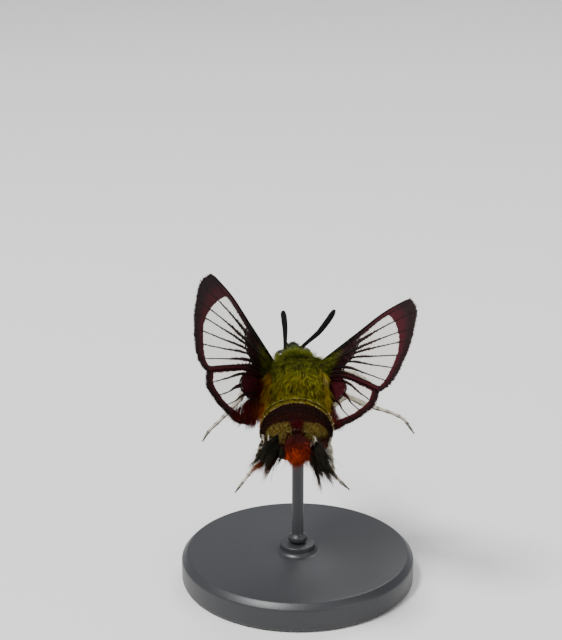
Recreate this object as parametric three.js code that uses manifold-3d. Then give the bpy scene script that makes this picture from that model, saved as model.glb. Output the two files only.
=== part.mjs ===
// Hummingbird clearwing moth at life size, hovering on a plain display stand.
// Millimetres. +Y is the way the head points, +X is its right side, +Z is up.
// The origin is the middle of the stand's underside.
import * as THREE from "three";
import { mergeVertices } from "three/addons/utils/BufferGeometryUtils.js";
import Module from "manifold-3d";

const wasm = await Module();
wasm.setup();

// Driving dimensions, in millimetres and degrees
const GAP = 0.3; // between pieces that touch
const FLIGHT_HEIGHT = 27; // middle of the thorax above the table
const THORAX_AHEAD = 2.2; // middle of the thorax in front of the stand's rod
const THORAX_PITCH = 20; // head up
const THORAX_LENGTH = 10.6;
const THORAX_HALF_WIDTH = 4.3;
const THORAX_HALF_HEIGHT = 4.1;
const NECK = [-0.25, 4.5, 0.2];
const HEAD_YAW = 10; // turned to the left
const HEAD_HALF_WIDTH = 1.8;
const HEAD_HALF_HEIGHT = 1.75;
const EYE_RADIUS = 1.1;
const ABDOMEN_HALF_WIDTH = 4.8;
const ABDOMEN_HALF_HEIGHT = 3.9;
const ABDOMEN_STEP = 4; // length between the angles of the next line
const ABDOMEN_RISE = [14, 28, 36, 38, 34]; // degrees above the thorax line
const SEGMENTS = 7;
const SEGMENT_LAP = 0.04; // share of its size by which a segment laps over the next
const WING_HINGE = [3.79, 1.99, 2.86];
const WING_POSE = {
  right: { elevation: 60.4, sweep: 24.8, twist: 15.2 },
  left: { elevation: 69.6, sweep: 18.5, twist: 31.2 },
};
const MEMBRANE = 0.5;
const VEIN_RISE = 0.16; // above the membrane, on both faces
const VEIN_FOOT = 0.3; // half width of a vein's ridge
const WING_DROOP = 0.0025; // camber, per square millimetre of chord
const BASE_RADIUS = 16;
const BASE_HEIGHT = 4;
const ROD_RADIUS = 0.8;

const SIDES = { right: 1, left: -1 };
const degrees = THREE.MathUtils.degToRad;
const vector = (p) => new THREE.Vector3(...p);

// Colours and finishes
const finish = (color, roughness, metalness = 0) => ({ color, roughness, metalness });
const OLIVE_FUR = finish(0x6f6a1e, 0.9);
const DARK_BAND = finish(0x3a1418, 0.7);
const RUST_FUR = finish(0x9a3f12, 0.9);
const BLACK_FUR = finish(0x14110f, 0.85);
const EYE = finish(0x1d0f0a, 0.15);
const HORN = finish(0x0d0b0a, 0.5);
const PALE_SCALE = finish(0xd9cfae, 0.8);
const TONGUE = finish(0x2b1a12, 0.45);
const MEMBRANE_FINISH = finish(0x4a1f24, 0.3);
const PAINTED_STEEL = finish(0x2a2b2d, 0.5, 0.6);

// Scene graph: the stand is upright, and the moth hovers over it with its head up
const root = new THREE.Group();
const moth = new THREE.Group();
moth.position.set(0, THORAX_AHEAD, FLIGHT_HEIGHT);
moth.rotation.x = degrees(THORAX_PITCH);
root.add(moth);

function piece(parent, name, geometry, look) {
  const mesh = new THREE.Mesh(geometry, new THREE.MeshStandardMaterial(look));
  mesh.name = name;
  mesh.userData.forms = [geometry]; // as they are before its neighbours cut it back
  parent.add(mesh);
  return mesh;
}

// A piece made of several forms that run into each other
function joinedPiece(parent, name, forms, look) {
  const mesh = piece(parent, name, joined(forms), look);
  mesh.userData.forms = forms;
  return mesh;
}

// Solids: joining and cutting closed geometry
function welded(geometry) {
  if (geometry.userData.welded) return geometry.clone();
  const bare = geometry.clone();
  bare.deleteAttribute("normal");
  bare.deleteAttribute("uv");
  return mergeVertices(bare, 1e-4);
}

function solid(geometry) {
  const bare = welded(geometry);
  return new wasm.Manifold(
    new wasm.Mesh({
      numProp: 3,
      vertProperties: new Float32Array(bare.attributes.position.array),
      triVerts: new Uint32Array(bare.index.array),
    }),
  );
}

function geometryOf(form) {
  const { vertProperties, triVerts } = form.getMesh();
  const geometry = new THREE.BufferGeometry();
  geometry.setAttribute("position", new THREE.BufferAttribute(vertProperties, 3));
  geometry.setIndex(new THREE.BufferAttribute(triVerts, 1));
  geometry.userData.welded = true;
  return geometry;
}

function largest(form) {
  return form.decompose().reduce((a, b) => (a.volume() > b.volume() ? a : b));
}

function joined(geometries) {
  return geometryOf(largest(geometries.map(solid).reduce((a, b) => a.add(b))));
}

// The same form grown outwards all over
function swollen(geometry, by) {
  const grown = welded(geometry);
  grown.computeVertexNormals();
  const { position, normal } = grown.attributes;
  for (let i = 0; i < position.count; i++) {
    position.setXYZ(
      i,
      position.getX(i) + by * normal.getX(i),
      position.getY(i) + by * normal.getY(i),
      position.getZ(i) + by * normal.getZ(i),
    );
  }
  return grown;
}

// Cuts a mesh back so that it faces its neighbours across the gap
function keepClear(mesh, ...neighbours) {
  root.updateMatrixWorld(true);
  const inward = mesh.matrixWorld.clone().invert();
  let form = solid(mesh.geometry);
  for (const neighbour of neighbours) {
    for (const part of neighbour.userData.forms) {
      const shell = swollen(part, GAP);
      shell.applyMatrix4(neighbour.matrixWorld).applyMatrix4(inward);
      form = form.subtract(solid(shell));
    }
  }
  mesh.geometry = geometryOf(largest(form));
}

// A sphere's mesh drawn out along a curve, pole to pole.
// sizeAt(place, angle) gives the half width and half height at a place from 0 to 1.
// The half width lies across the curve and the lean, which the section's top points to.
function drawnOut(curve, lean, sizeAt, places, sides) {
  const form = new THREE.SphereGeometry(1, sides, places.length - 1);
  const { position } = form.attributes;
  const top = vector(lean);
  places.forEach((place, ring) => {
    const middle = curve.getPointAt(place);
    const along = curve.getTangentAt(place);
    const across = top.clone().cross(along).normalize();
    const up = along.clone().cross(across);
    const pole = ring === 0 || ring === places.length - 1;
    for (let i = 0; i <= sides; i++) {
      const angle = Math.PI - (2 * Math.PI * i) / sides;
      const [halfWidth, halfHeight] = pole ? [0, 0] : sizeAt(place, angle);
      const at = middle
        .clone()
        .addScaledVector(across, halfWidth * Math.cos(angle))
        .addScaledVector(up, halfHeight * Math.sin(angle));
      position.setXYZ(ring * (sides + 1) + i, at.x, at.y, at.z);
    }
  });
  return form;
}

const evenly = (count) => Array.from({ length: count + 1 }, (_, i) => i / count);
const closerAtEnds = (count) =>
  evenly(count).map((t) => (1 - Math.cos(Math.PI * t)) / 2);
const fromTop = (angle) => Math.abs(Math.atan2(Math.cos(angle), Math.sin(angle)));
const roundEnd = (t, cap) => (t < cap ? Math.sqrt(1 - (1 - t / cap) ** 2) : 1);

// Half sizes smooth through a few stations [place, half width, half height]
function smoothSizes(stations, frontCap, rearCap) {
  const curve = new THREE.CubicInterpolant(
    stations.map((s) => s[0]),
    stations.flatMap((s) => [s[1], s[2]]),
    2,
  );
  return (place) => {
    const [halfWidth, halfHeight] = curve.evaluate(place);
    const end = roundEnd(place, frontCap) * roundEnd(1 - place, rearCap);
    return [halfWidth * end, halfHeight * end];
  };
}

function spline(points) {
  return new THREE.CatmullRomCurve3(points.map(vector), false, "catmullrom", 0.5);
}

// Thorax: a deep furry barrel with a lobe over each wing root
const thoraxSizes = smoothSizes(
  [
    [0, 0.72, 0.74],
    [0.3, 0.93, 0.95],
    [0.55, 1, 1],
    [0.8, 0.98, 0.96],
    [1, 0.9, 0.86],
  ],
  0.42,
  0.34,
);
const LOBE = { place: 0.38, length: 0.2, angle: 48, spread: 24, rise: 0.17 };
function thoraxSize(place, angle) {
  const [w, h] = thoraxSizes(place);
  const offside = Math.abs(fromTop(angle) - degrees(LOBE.angle));
  const lobe =
    LOBE.rise *
    Math.exp(-(((place - LOBE.place) / LOBE.length) ** 2)) *
    Math.exp(-((offside / degrees(LOBE.spread)) ** 2));
  return [w * THORAX_HALF_WIDTH * (1 + lobe), h * THORAX_HALF_HEIGHT * (1 + lobe)];
}
const thoraxLine = new THREE.LineCurve3(
  new THREE.Vector3(0, THORAX_LENGTH / 2, 0),
  new THREE.Vector3(0, -THORAX_LENGTH / 2, 0),
);
const UP = [0, 0, 1];
const thorax = piece(
  moth,
  "thorax",
  drawnOut(thoraxLine, UP, thoraxSize, closerAtEnds(18), 26),
  OLIVE_FUR,
);

// Head: a short furry knob with a low crest, turned a little to the left
const headGroup = new THREE.Group();
headGroup.position.set(...NECK);
headGroup.rotation.z = degrees(HEAD_YAW);
moth.add(headGroup);
const headSizes = smoothSizes(
  [
    [0, 0.85, 0.85],
    [0.35, 1, 1],
    [0.7, 0.97, 0.95],
    [1, 0.9, 0.85],
  ],
  0.34,
  0.3,
);
const CREST = { place: 0.3, length: 0.22, spread: 40, rise: 0.2 };
function headSize(place, angle) {
  const [w, h] = headSizes(place);
  const crest =
    CREST.rise *
    Math.exp(-(((place - CREST.place) / CREST.length) ** 2)) *
    Math.exp(-((fromTop(angle) / degrees(CREST.spread)) ** 2));
  return [w * HEAD_HALF_WIDTH, h * HEAD_HALF_HEIGHT * (1 + crest)];
}
const headLine = spline([
  [0, 3.8, -0.45],
  [0, 2.2, 0],
  [0, -0.6, 0.1],
]);
const head = piece(
  headGroup,
  "head",
  drawnOut(headLine, UP, headSize, closerAtEnds(12), 20),
  OLIVE_FUR,
);
const EYE_PLACE = [1.55, 2.25, -0.15];
for (const [side, sign] of Object.entries(SIDES)) {
  const eye = new THREE.SphereGeometry(EYE_RADIUS, 18, 12);
  const mesh = piece(headGroup, `eye_${side}`, eye, EYE);
  mesh.position.set(sign * EYE_PLACE[0], EYE_PLACE[1], EYE_PLACE[2]);
  mesh.rotation.z = Math.PI / 2;
  keepClear(head, mesh);
}
keepClear(head, thorax);

// A round limb through its joints, each [x, y, z, radius]
const LIMB_CAPS = [0.02, 0.04]; // shares of its length that round off at its two ends
const LIMB_CAP_RING = 0.012; // where the rings next to its poles stand
function limb(joints, steps, sides, lean) {
  const curve = new THREE.CatmullRomCurve3(
    joints.map((j) => vector(j.slice(0, 3))),
    false,
    "catmullrom",
    0.3,
  );
  const lengths = [0];
  for (let i = 1; i < joints.length; i++) {
    const span = vector(joints[i].slice(0, 3)).distanceTo(vector(joints[i - 1].slice(0, 3)));
    lengths.push(lengths[i - 1] + span);
  }
  const whole = lengths[lengths.length - 1];
  const sizes = smoothSizes(
    joints.map((j, i) => [lengths[i] / whole, j[3], j[3]]),
    ...LIMB_CAPS,
  );
  const between = evenly(steps).slice(1, -1);
  const places = [0, LIMB_CAP_RING, ...between, 1 - LIMB_CAP_RING, 1];
  return drawnOut(curve, lean, sizes, places, sides);
}

// Antennae: slim at the root, thickening to a club with a fine bent tip
const ANTENNAE = {
  right: { foot: [0.3, 7.1, 1.2], tip: [5.3, 16.1, 0.7], bow: [0.25, -0.1, -0.45] },
  left: { foot: [-1.75, 7.2, 1.2], tip: [-2.0, 17.2, -0.3], bow: [0.15, 0, 0.1] },
};
const ANTENNA_RADII = [
  [-0.12, 0.26], // inside the head
  [0.15, 0.26],
  [0.5, 0.32],
  [0.8, 0.4],
  [0.95, 0.34],
  [1, 0.22],
];
const HOOK = { ahead: 0.035, aside: 0.35, up: 0.1, radius: 0.1 };
for (const [side, { foot, tip, bow }] of Object.entries(ANTENNAE)) {
  const start = vector(foot);
  const end = vector(tip);
  const run = end.clone().sub(start);
  const joints = ANTENNA_RADII.map(([t, radius]) => {
    const at = start.clone().addScaledVector(run, t);
    at.addScaledVector(vector(bow), Math.sin(Math.PI * Math.max(t, 0)));
    return [at.x, at.y, at.z, radius];
  });
  const hook = end.clone().addScaledVector(run, HOOK.ahead);
  hook.add(vector([SIDES[side] * HOOK.aside, 0, HOOK.up]));
  joints.push([hook.x, hook.y, hook.z, HOOK.radius]);
  const mesh = piece(moth, `antenna_${side}`, limb(joints, 12, 8, UP), HORN);
  keepClear(mesh, head, thorax);
}

// Palps: two short furry lobes that curve up in front of the face
for (const [side, sign] of Object.entries(SIDES)) {
  const joints = [
    [sign * 0.5, 2.6, -1.5, 0.4],
    [sign * 0.62, 3.6, -1.65, 0.52],
    [sign * 0.6, 4.35, -1.0, 0.5],
    [sign * 0.52, 4.55, -0.2, 0.3],
    [sign * 0.48, 4.55, 0.15, 0.14],
  ];
  piece(headGroup, `palp_${side}`, limb(joints, 8, 10, [1, 0, 0]), PALE_SCALE);
}

// Tongue: stretched out ahead and down, as at a flower
const tongueJoints = [
  [0, 2.6, -1.75, 0.36],
  [0, 4.4, -2.95, 0.34],
  [0, 9.4, -6.6, 0.3],
  [0, 14.2, -10.5, 0.27],
  [0, 17.6, -13.6, 0.22],
];
const tongue = piece(headGroup, "proboscis", limb(tongueJoints, 18, 8, [1, 0, 0]), TONGUE);
keepClear(tongue, head);
for (const side of Object.keys(SIDES)) {
  const palp = headGroup.getObjectByName(`palp_${side}`);
  keepClear(palp, head, tongue);
}

// Abdomen: an arched line, and overlapping rings along it
const WAIST = [
  [0, -3.4, -1.25],
  [-0.1, -4.9, -1.0],
];
const ABDOMEN_ASIDE = -0.3; // it lies a little to the left
const ABDOMEN_END = [0, -1.2, 0.35]; // its last short stretch
function abdomenPoints() {
  const points = WAIST.map(vector);
  const at = points[1].clone().setX(ABDOMEN_ASIDE);
  const climbs = ABDOMEN_RISE.slice(1).map((next, i) => (next + ABDOMEN_RISE[i]) / 2);
  for (const climb of climbs) {
    at.y -= ABDOMEN_STEP * Math.cos(degrees(climb));
    at.z += ABDOMEN_STEP * Math.sin(degrees(climb));
    points.push(at.clone());
  }
  points.push(at.clone().add(vector(ABDOMEN_END)));
  return points;
}
const abdomenLine = new THREE.CatmullRomCurve3(abdomenPoints(), false, "centripetal");
const abdomenSizes = smoothSizes(
  [
    [0, 0.78, 0.82],
    [0.26, 1, 1],
    [0.5, 0.96, 0.93],
    [0.7, 0.79, 0.76],
    [0.87, 0.54, 0.55],
    [1, 0.4, 0.4],
  ],
  0.06,
  0.05,
);
const FIRST_RING = 0.12; // where along the abdomen the first free ring starts
const segmentPlace = (i) => FIRST_RING + ((1 - FIRST_RING) * i) / SEGMENTS;
const RING_PLACES = [0.008, 0.5, 0.98]; // shares of a segment where its rings stand
function abdomenSize(place) {
  const along = Math.max(0, (place - FIRST_RING) / (1 - FIRST_RING)) * SEGMENTS;
  const within = along - Math.floor(along);
  const lap = 1 - SEGMENT_LAP * (1 - within);
  const [w, h] = abdomenSizes(place);
  return [w * ABDOMEN_HALF_WIDTH * lap, h * ABDOMEN_HALF_HEIGHT * lap];
}
const abdomenPlaces = [0, 0.02, 0.06];
for (let i = 0; i < SEGMENTS; i++) {
  const length = segmentPlace(i + 1) - segmentPlace(i);
  abdomenPlaces.push(...RING_PLACES.map((share) => segmentPlace(i) + length * share));
}
abdomenPlaces.push(1);
const abdomen = piece(
  moth,
  "abdomen",
  drawnOut(abdomenLine, UP, abdomenSize, abdomenPlaces, 26),
  DARK_BAND,
);
keepClear(abdomen, thorax);

// A flat tapered lock of fur that bends outwards on its way to the tip
const LOCK_PLACES = [0, 0.1, 0.45, 0.8, 1];
const LOCK_SIDES = 6;
const LOCK_LEAST = 0.35; // share of its half sizes that it never gets under before its ends
const lockTaper = (place) =>
  LOCK_LEAST + (1 - LOCK_LEAST) * Math.sin(Math.PI * (0.2 + 0.75 * place));
function lock(foot, way, out, { length, halfWidth, halfThickness, bend }) {
  const tip = foot.clone().addScaledVector(way, length);
  const middle = foot.clone().addScaledVector(way, length * 0.5).addScaledVector(out, bend);
  return drawnOut(
    new THREE.QuadraticBezierCurve3(foot, middle, tip),
    out.toArray(),
    (place) => [halfWidth * lockTaper(place), halfThickness * lockTaper(place)],
    LOCK_PLACES,
    LOCK_SIDES,
  );
}

// Repeatable random numbers from 0 to 1
function randomFrom(seed) {
  let state = seed;
  return () => {
    state = (state * 16807) % 2147483647;
    return state / 2147483647;
  };
}

// The core that a brush or a tuft grows from: half sizes at its root, middle and end
function core(start, end, lean, [root, middle, tip], frontCap) {
  const sizes = smoothSizes([[0, ...root], [0.5, ...middle], [1, ...tip]], frontCap, 0.4);
  return drawnOut(new THREE.LineCurve3(start, end), lean, sizes, closerAtEnds(6), 12);
}

// Tail: a rust brush in the middle, of locks in two tiers round a short core
const tailTip = abdomenLine.getPointAt(0.97);
const tailWay = abdomenLine.getTangentAt(0.97);
const tailAcross = vector(UP).cross(tailWay).normalize();
const tailUp = tailWay.clone().cross(tailAcross);
const BRUSH = { length: 4.9, halfWidth: 1.6, halfHeight: 1.35, splay: 0.06 };
const BRUSH_LOCK = { halfWidth: 0.62, halfThickness: 0.3, bend: 0.25 };
const BRUSH_TIERS = [
  { count: 12, radius: 0.8, reach: 0.86 },
  { count: 7, radius: 0.42, reach: 1 },
];
function brushForms() {
  const random = randomFrom(71);
  const coreStart = tailTip.clone().addScaledVector(tailWay, -1);
  const coreEnd = tailTip.clone().addScaledVector(tailWay, BRUSH.length * 0.4);
  const coreSizes = [0.9, 1, 0.6].map((k) => [BRUSH.halfWidth * k, BRUSH.halfHeight * k]);
  const forms = [core(coreStart, coreEnd, UP, coreSizes, 0.1)];
  for (const { count, radius, reach } of BRUSH_TIERS) {
    for (let i = 0; i < count; i++) {
      const angle = (2 * Math.PI * (i + 0.3 * random())) / count;
      const out = tailAcross.clone().multiplyScalar(Math.cos(angle));
      out.addScaledVector(tailUp, Math.sin(angle));
      const foot = tailTip.clone();
      foot.addScaledVector(tailAcross, radius * BRUSH.halfWidth * Math.cos(angle));
      foot.addScaledVector(tailUp, radius * BRUSH.halfHeight * Math.sin(angle));
      const way = tailWay.clone().addScaledVector(out, BRUSH.splay * (0.5 + random()));
      const length = BRUSH.length * reach * (0.9 + 0.14 * random());
      forms.push(lock(foot, way.normalize(), out, { ...BRUSH_LOCK, length }));
    }
  }
  return forms;
}
const brush = joinedPiece(moth, "tail_brush", brushForms(), RUST_FUR);
keepClear(brush, abdomen);

// A black tuft to each side of the brush: a fan of locks that droop and spread
const TUFTS = {
  right: { way: [0.4, -0.88, -0.46], length: 6.4, seed: 13 },
  left: { way: [-0.62, -0.8, -0.34], length: 5.4, seed: 29 },
};
const TUFT_LOCKS = 11;
const TUFT_LOCK = { halfWidth: 0.5, halfThickness: 0.28 };
const TUFT_FAN = 0.42; // how far the outer locks turn from the middle one
const TUFT_SPREAD = 0.75; // half the height over which the locks' feet stand
const TUFT_UNEVEN = 0.34; // how far a lock may lie in front of its neighbour
const TUFT_CORE = [
  [0.7, 1.1],
  [0.8, 1.25],
  [0.4, 0.6],
];
function tuftForms(sign, { way, length, seed }) {
  const random = randomFrom(seed);
  const main = vector(way).normalize();
  const out = vector([sign, 0, 0]).addScaledVector(main, -sign * main.x).normalize();
  const down = main.clone().cross(out).multiplyScalar(sign);
  const start = abdomenLine.getPointAt(0.84).addScaledVector(tailAcross, sign * 1.5);
  start.addScaledVector(tailUp, 0.3);
  const coreEnd = start.clone().addScaledVector(main, length * 0.45);
  const forms = [core(start, coreEnd, out.toArray(), TUFT_CORE, 0.15)];
  for (let i = 0; i < TUFT_LOCKS; i++) {
    const fan = (2 * (i + 0.5)) / TUFT_LOCKS - 1;
    const side = TUFT_UNEVEN * (random() - 0.5);
    const turned = main.clone().addScaledVector(down, TUFT_FAN * fan).addScaledVector(out, side);
    const foot = start.clone().addScaledVector(main, 0.5).addScaledVector(out, side);
    foot.addScaledVector(down, TUFT_SPREAD * fan);
    const reach = length * (1 - 0.25 * fan * fan) * (0.85 + 0.2 * random());
    const shape = { ...TUFT_LOCK, length: reach, bend: 0.3 * random() };
    forms.push(lock(foot, turned.normalize(), out, shape));
  }
  return forms;
}
for (const [side, tuft] of Object.entries(TUFTS)) {
  const forms = tuftForms(SIDES[side], tuft);
  const mesh = joinedPiece(moth, `tail_tuft_${side}`, forms, BLACK_FUR);
  keepClear(mesh, abdomen, brush);
}

// Legs: joints from hip to claw, [x, y, z, radius]
const LEGS = {
  foreleg_right: [
    [1.1, 3.0, -2.6, 0.5],
    [3.0, 4.6, -3.7, 0.44],
    [5.2, 5.9, -2.3, 0.4],
    [8.0, 5.8, -2.4, 0.34],
    [9.3, 5.4, -2.9, 0.28],
    [10.6, 4.8, -3.7, 0.2],
  ],
  foreleg_left: [
    [-1.1, 3.0, -2.6, 0.5],
    [-2.4, 4.2, -4.7, 0.44],
    [-3.6, 5.0, -5.7, 0.4],
    [-4.6, 6.6, -6.6, 0.34],
    [-5.2, 7.8, -7.8, 0.28],
    [-5.6, 8.7, -9.0, 0.2],
  ],
  midleg_right: [
    [1.3, -0.4, -2.8, 0.52],
    [3.6, 0.6, -4.6, 0.46],
    [6.6, 1.7, -3.1, 0.42],
    [9.4, 1.6, -4.4, 0.38],
    [12.8, 1.0, -5.3, 0.3],
    [14.6, 0.4, -6.0, 0.27],
    [15.9, -0.7, -7.4, 0.2],
  ],
  midleg_left: [
    [-1.3, -0.4, -2.8, 0.52],
    [-4.0, 1.2, -4.6, 0.46],
    [-7.2, 2.7, -3.2, 0.42],
    [-8.1, 2.5, -4.4, 0.4],
    [-10.6, 1.4, -6.9, 0.32],
    [-12.2, 0.7, -8.3, 0.27],
    [-13.1, 0.1, -9.6, 0.2],
  ],
  hindleg_right: [
    [1.2, -2.8, -2.4, 0.52],
    [2.9, -2.0, -5.0, 0.48],
    [3.5, -2.2, -6.1, 0.44],
    [4.3, -5.6, -6.3, 0.4],
    [4.8, -8.4, -7.8, 0.3],
    [5.7, -9.2, -8.6, 0.27],
    [6.7, -9.8, -9.3, 0.2],
  ],
  hindleg_left: [
    [-1.2, -2.8, -2.4, 0.52],
    [-3.1, -1.9, -4.9, 0.48],
    [-4.0, -2.4, -5.5, 0.44],
    [-5.0, -5.6, -5.6, 0.4],
    [-5.9, -7.6, -7.3, 0.32],
    [-7.1, -8.8, -8.5, 0.27],
    [-8.3, -10.0, -9.6, 0.2],
  ],
};
// Spurs stand in pairs on the shin of the middle and hind legs
const SPUR = { length: 1.5, radius: 0.25, splay: 0.5, sides: 5, sunk: 0.05 };
const SPUR_JOINTS = { fore: [], mid: [3], hind: [3] };
const LEG_LEAN = [0.2, 1, 0.1]; // never along a leg
function spurs(joints, at) {
  const foot = vector(joints[at].slice(0, 3));
  const way = foot.clone().sub(vector(joints[at - 1].slice(0, 3))).normalize();
  const side = way.clone().cross(vector([0, 1, 0])).normalize();
  return [1, -1].map((sign) => {
    const lean = way.clone().addScaledVector(side, sign * SPUR.splay).normalize();
    const spur = new THREE.ConeGeometry(SPUR.radius, SPUR.length, SPUR.sides);
    const turn = new THREE.Quaternion().setFromUnitVectors(new THREE.Vector3(0, 1, 0), lean);
    const middle = foot.clone().addScaledVector(lean, SPUR.length * (0.5 - SPUR.sunk));
    return spur.applyQuaternion(turn).translate(middle.x, middle.y, middle.z);
  });
}
for (const [name, joints] of Object.entries(LEGS)) {
  const kind = name.split("leg")[0];
  const forms = [limb(joints, 16, 8, LEG_LEAN)];
  for (const at of SPUR_JOINTS[kind]) forms.push(...spurs(joints, at));
  const leg = joinedPiece(moth, name, forms, PALE_SCALE);
  keepClear(leg, thorax, abdomen);
}

// Wings: cross curves [along the span, towards the rear] from the root to the outer edge.
// Each runs from the leading edge to the rear edge.
const FOREWING = {
  crossings: [
    [[-2.2, -0.5], [-2.2, 1.5]],
    [[8.4, -0.8], [8.5, 0.3], [7.9, 1.2], [6.4, 1.85], [4.8, 2.2], [3.6, 3.2]],
    [[15.6, -1.0], [15.2, 0.9], [14.3, 3.0], [12.4, 4.6], [10.3, 5.5], [8.6, 5.8]],
    [[21.6, -0.5], [23.1, 1.6], [21.7, 4.5], [19.8, 6.3], [17.8, 7.7], [15.4, 8.6], [13.0, 8.6]],
  ],
  veins: [0.05, 0.17, 0.3, 0.4, 0.53, 0.66, 0.82, 0.94],
  stems: [0.05, 0.3, 0.82, 0.94], // the veins that run on to the root
};
const HINDWING = {
  crossings: [
    [[-2.6, 2.1], [-2.8, 4.2]],
    [[3.5, 3.8], [4.4, 5.0], [3.4, 5.8], [1.8, 6.0], [0, 5.7], [-2.2, 4.9]],
    [[8.4, 6.4], [8.0, 7.4], [6.0, 7.9], [3.6, 8.0], [1.0, 7.6], [-2.2, 6.2]],
    [[12.6, 9.0], [11.3, 9.6], [9.4, 9.9], [7.0, 10.0], [3.8, 9.8], [0.6, 9.3], [-1.9, 7.7]],
  ],
  veins: [0.12, 0.3, 0.48, 0.66, 0.84],
  stems: [0.12, 0.48, 0.84],
};
const CELL_END = 1 / 3; // where the veins fork, as a share of the way out
const WING_ROWS = [0, 0.16, 0.28, CELL_END, 0.39, 0.5, 0.62, 0.74, 0.86, 0.95, 1];
const WING_RIM = 0.6; // thickness of a wing's outer edges, as a share of the rest

function wingPlate(wing, sign) {
  const crossings = wing.crossings.map(
    (points) => new THREE.SplineCurve(points.map((p) => new THREE.Vector2(...p))),
  );
  // Columns run out from the root: the two edges, and each vein's crest and feet
  const width = crossings[2].getLength();
  const foot = VEIN_FOOT / width;
  const columns = [{ at: 0, vein: null }];
  for (const vein of wing.veins) {
    columns.push({ at: vein - foot, vein: null });
    columns.push({ at: vein, vein });
    columns.push({ at: vein + foot, vein: null });
  }
  columns.push({ at: 1, vein: null });
  const across = columns.length;
  const corners = across * WING_ROWS.length;
  const positions = [];
  for (const face of [1, -1]) {
    for (const row of WING_ROWS) {
      for (const { at, vein } of columns) {
        const way = new THREE.SplineCurve(crossings.map((c) => c.getPointAt(at)));
        const p = way.getPoint(row);
        const open = row >= CELL_END || wing.stems.includes(vein);
        const rise = vein !== null && open ? VEIN_RISE : 0;
        const rim = row === 1 || at === 0 || at === 1 ? WING_RIM : 1;
        const half = (MEMBRANE / 2 + rise) * rim;
        positions.push(sign * p.x, -p.y, face * half - WING_DROOP * p.y * p.y);
      }
    }
  }
  // Both faces are split alike, and a rim joins them. The left wing's X is turned round,
  // so its corners are taken the other way.
  const index = [];
  const quad = (a, b, c, d) => index.push(a, b, c, a, c, d);
  const put = (a, b, c, d) => (sign > 0 ? quad(a, b, c, d) : quad(a, d, c, b));
  const last = WING_ROWS.length - 1;
  for (let j = 0; j < last; j++) {
    for (let i = 0; i < across - 1; i++) {
      const a = j * across + i;
      const [b, c, d] = [a + 1, a + across + 1, a + across];
      put(a, b, c, d);
      put(a + corners, d + corners, c + corners, b + corners);
    }
  }
  const loop = [];
  for (let i = 0; i < across; i++) loop.push(i);
  for (let j = 1; j <= last; j++) loop.push(j * across + across - 1);
  for (let i = across - 2; i >= 0; i--) loop.push(last * across + i);
  for (let j = last - 1; j > 0; j--) loop.push(j * across);
  loop.forEach((a, k) => {
    const b = loop[(k + 1) % loop.length];
    put(a, a + corners, b + corners, b);
  });
  const geometry = new THREE.BufferGeometry();
  geometry.setAttribute("position", new THREE.Float32BufferAttribute(positions, 3));
  geometry.setIndex(index);
  return geometry;
}

// A wing's group: its X is outwards on the right side, its Y forwards and its Z its upper face
function wingGroup(side) {
  const sign = SIDES[side];
  const { elevation, sweep, twist } = WING_POSE[side];
  const [e, s] = [degrees(elevation), degrees(sweep)];
  const span = vector([sign * Math.cos(e) * Math.cos(s), -Math.sin(s), Math.sin(e) * Math.cos(s)]);
  const rear = vector([0, -1, 0]);
  rear.addScaledVector(span, -rear.dot(span)).normalize();
  rear.applyAxisAngle(span, degrees(twist) * sign);
  const outward = span.clone().multiplyScalar(sign);
  const forward = rear.clone().negate();
  const upper = outward.clone().cross(forward);
  const group = new THREE.Group();
  group.position.set(sign * WING_HINGE[0], WING_HINGE[1], WING_HINGE[2]);
  group.setRotationFromMatrix(new THREE.Matrix4().makeBasis(outward, forward, upper));
  moth.add(group);
  return group;
}
for (const [side, sign] of Object.entries(SIDES)) {
  const group = wingGroup(side);
  for (const [name, shape] of Object.entries({ forewing: FOREWING, hindwing: HINDWING })) {
    const wing = piece(group, `${name}_${side}`, wingPlate(shape, sign), MEMBRANE_FINISH);
    keepClear(wing, thorax, abdomen);
  }
}

// Stand: a turned round base with a boss, and a rod up to the belly
const BOSS = { radius: 2.4, height: 1.2, foot: 0.4 };
const BEVEL = 0.8;
const baseProfile = [
  [0, 0],
  [BASE_RADIUS - BEVEL / 2, 0],
  [BASE_RADIUS, BEVEL / 2],
  [BASE_RADIUS, BASE_HEIGHT - BEVEL],
  [BASE_RADIUS - BEVEL, BASE_HEIGHT],
  [BOSS.radius + BOSS.foot, BASE_HEIGHT],
  [BOSS.radius, BASE_HEIGHT + BOSS.foot],
  [BOSS.radius, BASE_HEIGHT + BOSS.height],
  [0, BASE_HEIGHT + BOSS.height],
];
const base = new THREE.LatheGeometry(
  baseProfile.map((p) => new THREE.Vector2(...p)),
  48,
);
base.rotateX(Math.PI / 2);
piece(root, "stand_base", base, PAINTED_STEEL);
const rodFoot = BASE_HEIGHT + BOSS.height + GAP;
const rodLength = FLIGHT_HEIGHT - rodFoot;
const rod = new THREE.CylinderGeometry(ROD_RADIUS, ROD_RADIUS, rodLength, 20);
rod.rotateX(Math.PI / 2);
const rodMesh = piece(root, "stand_rod", rod, PAINTED_STEEL);
rodMesh.position.z = rodFoot + rodLength / 2;
keepClear(rodMesh, thorax, abdomen);

export default root;
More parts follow.
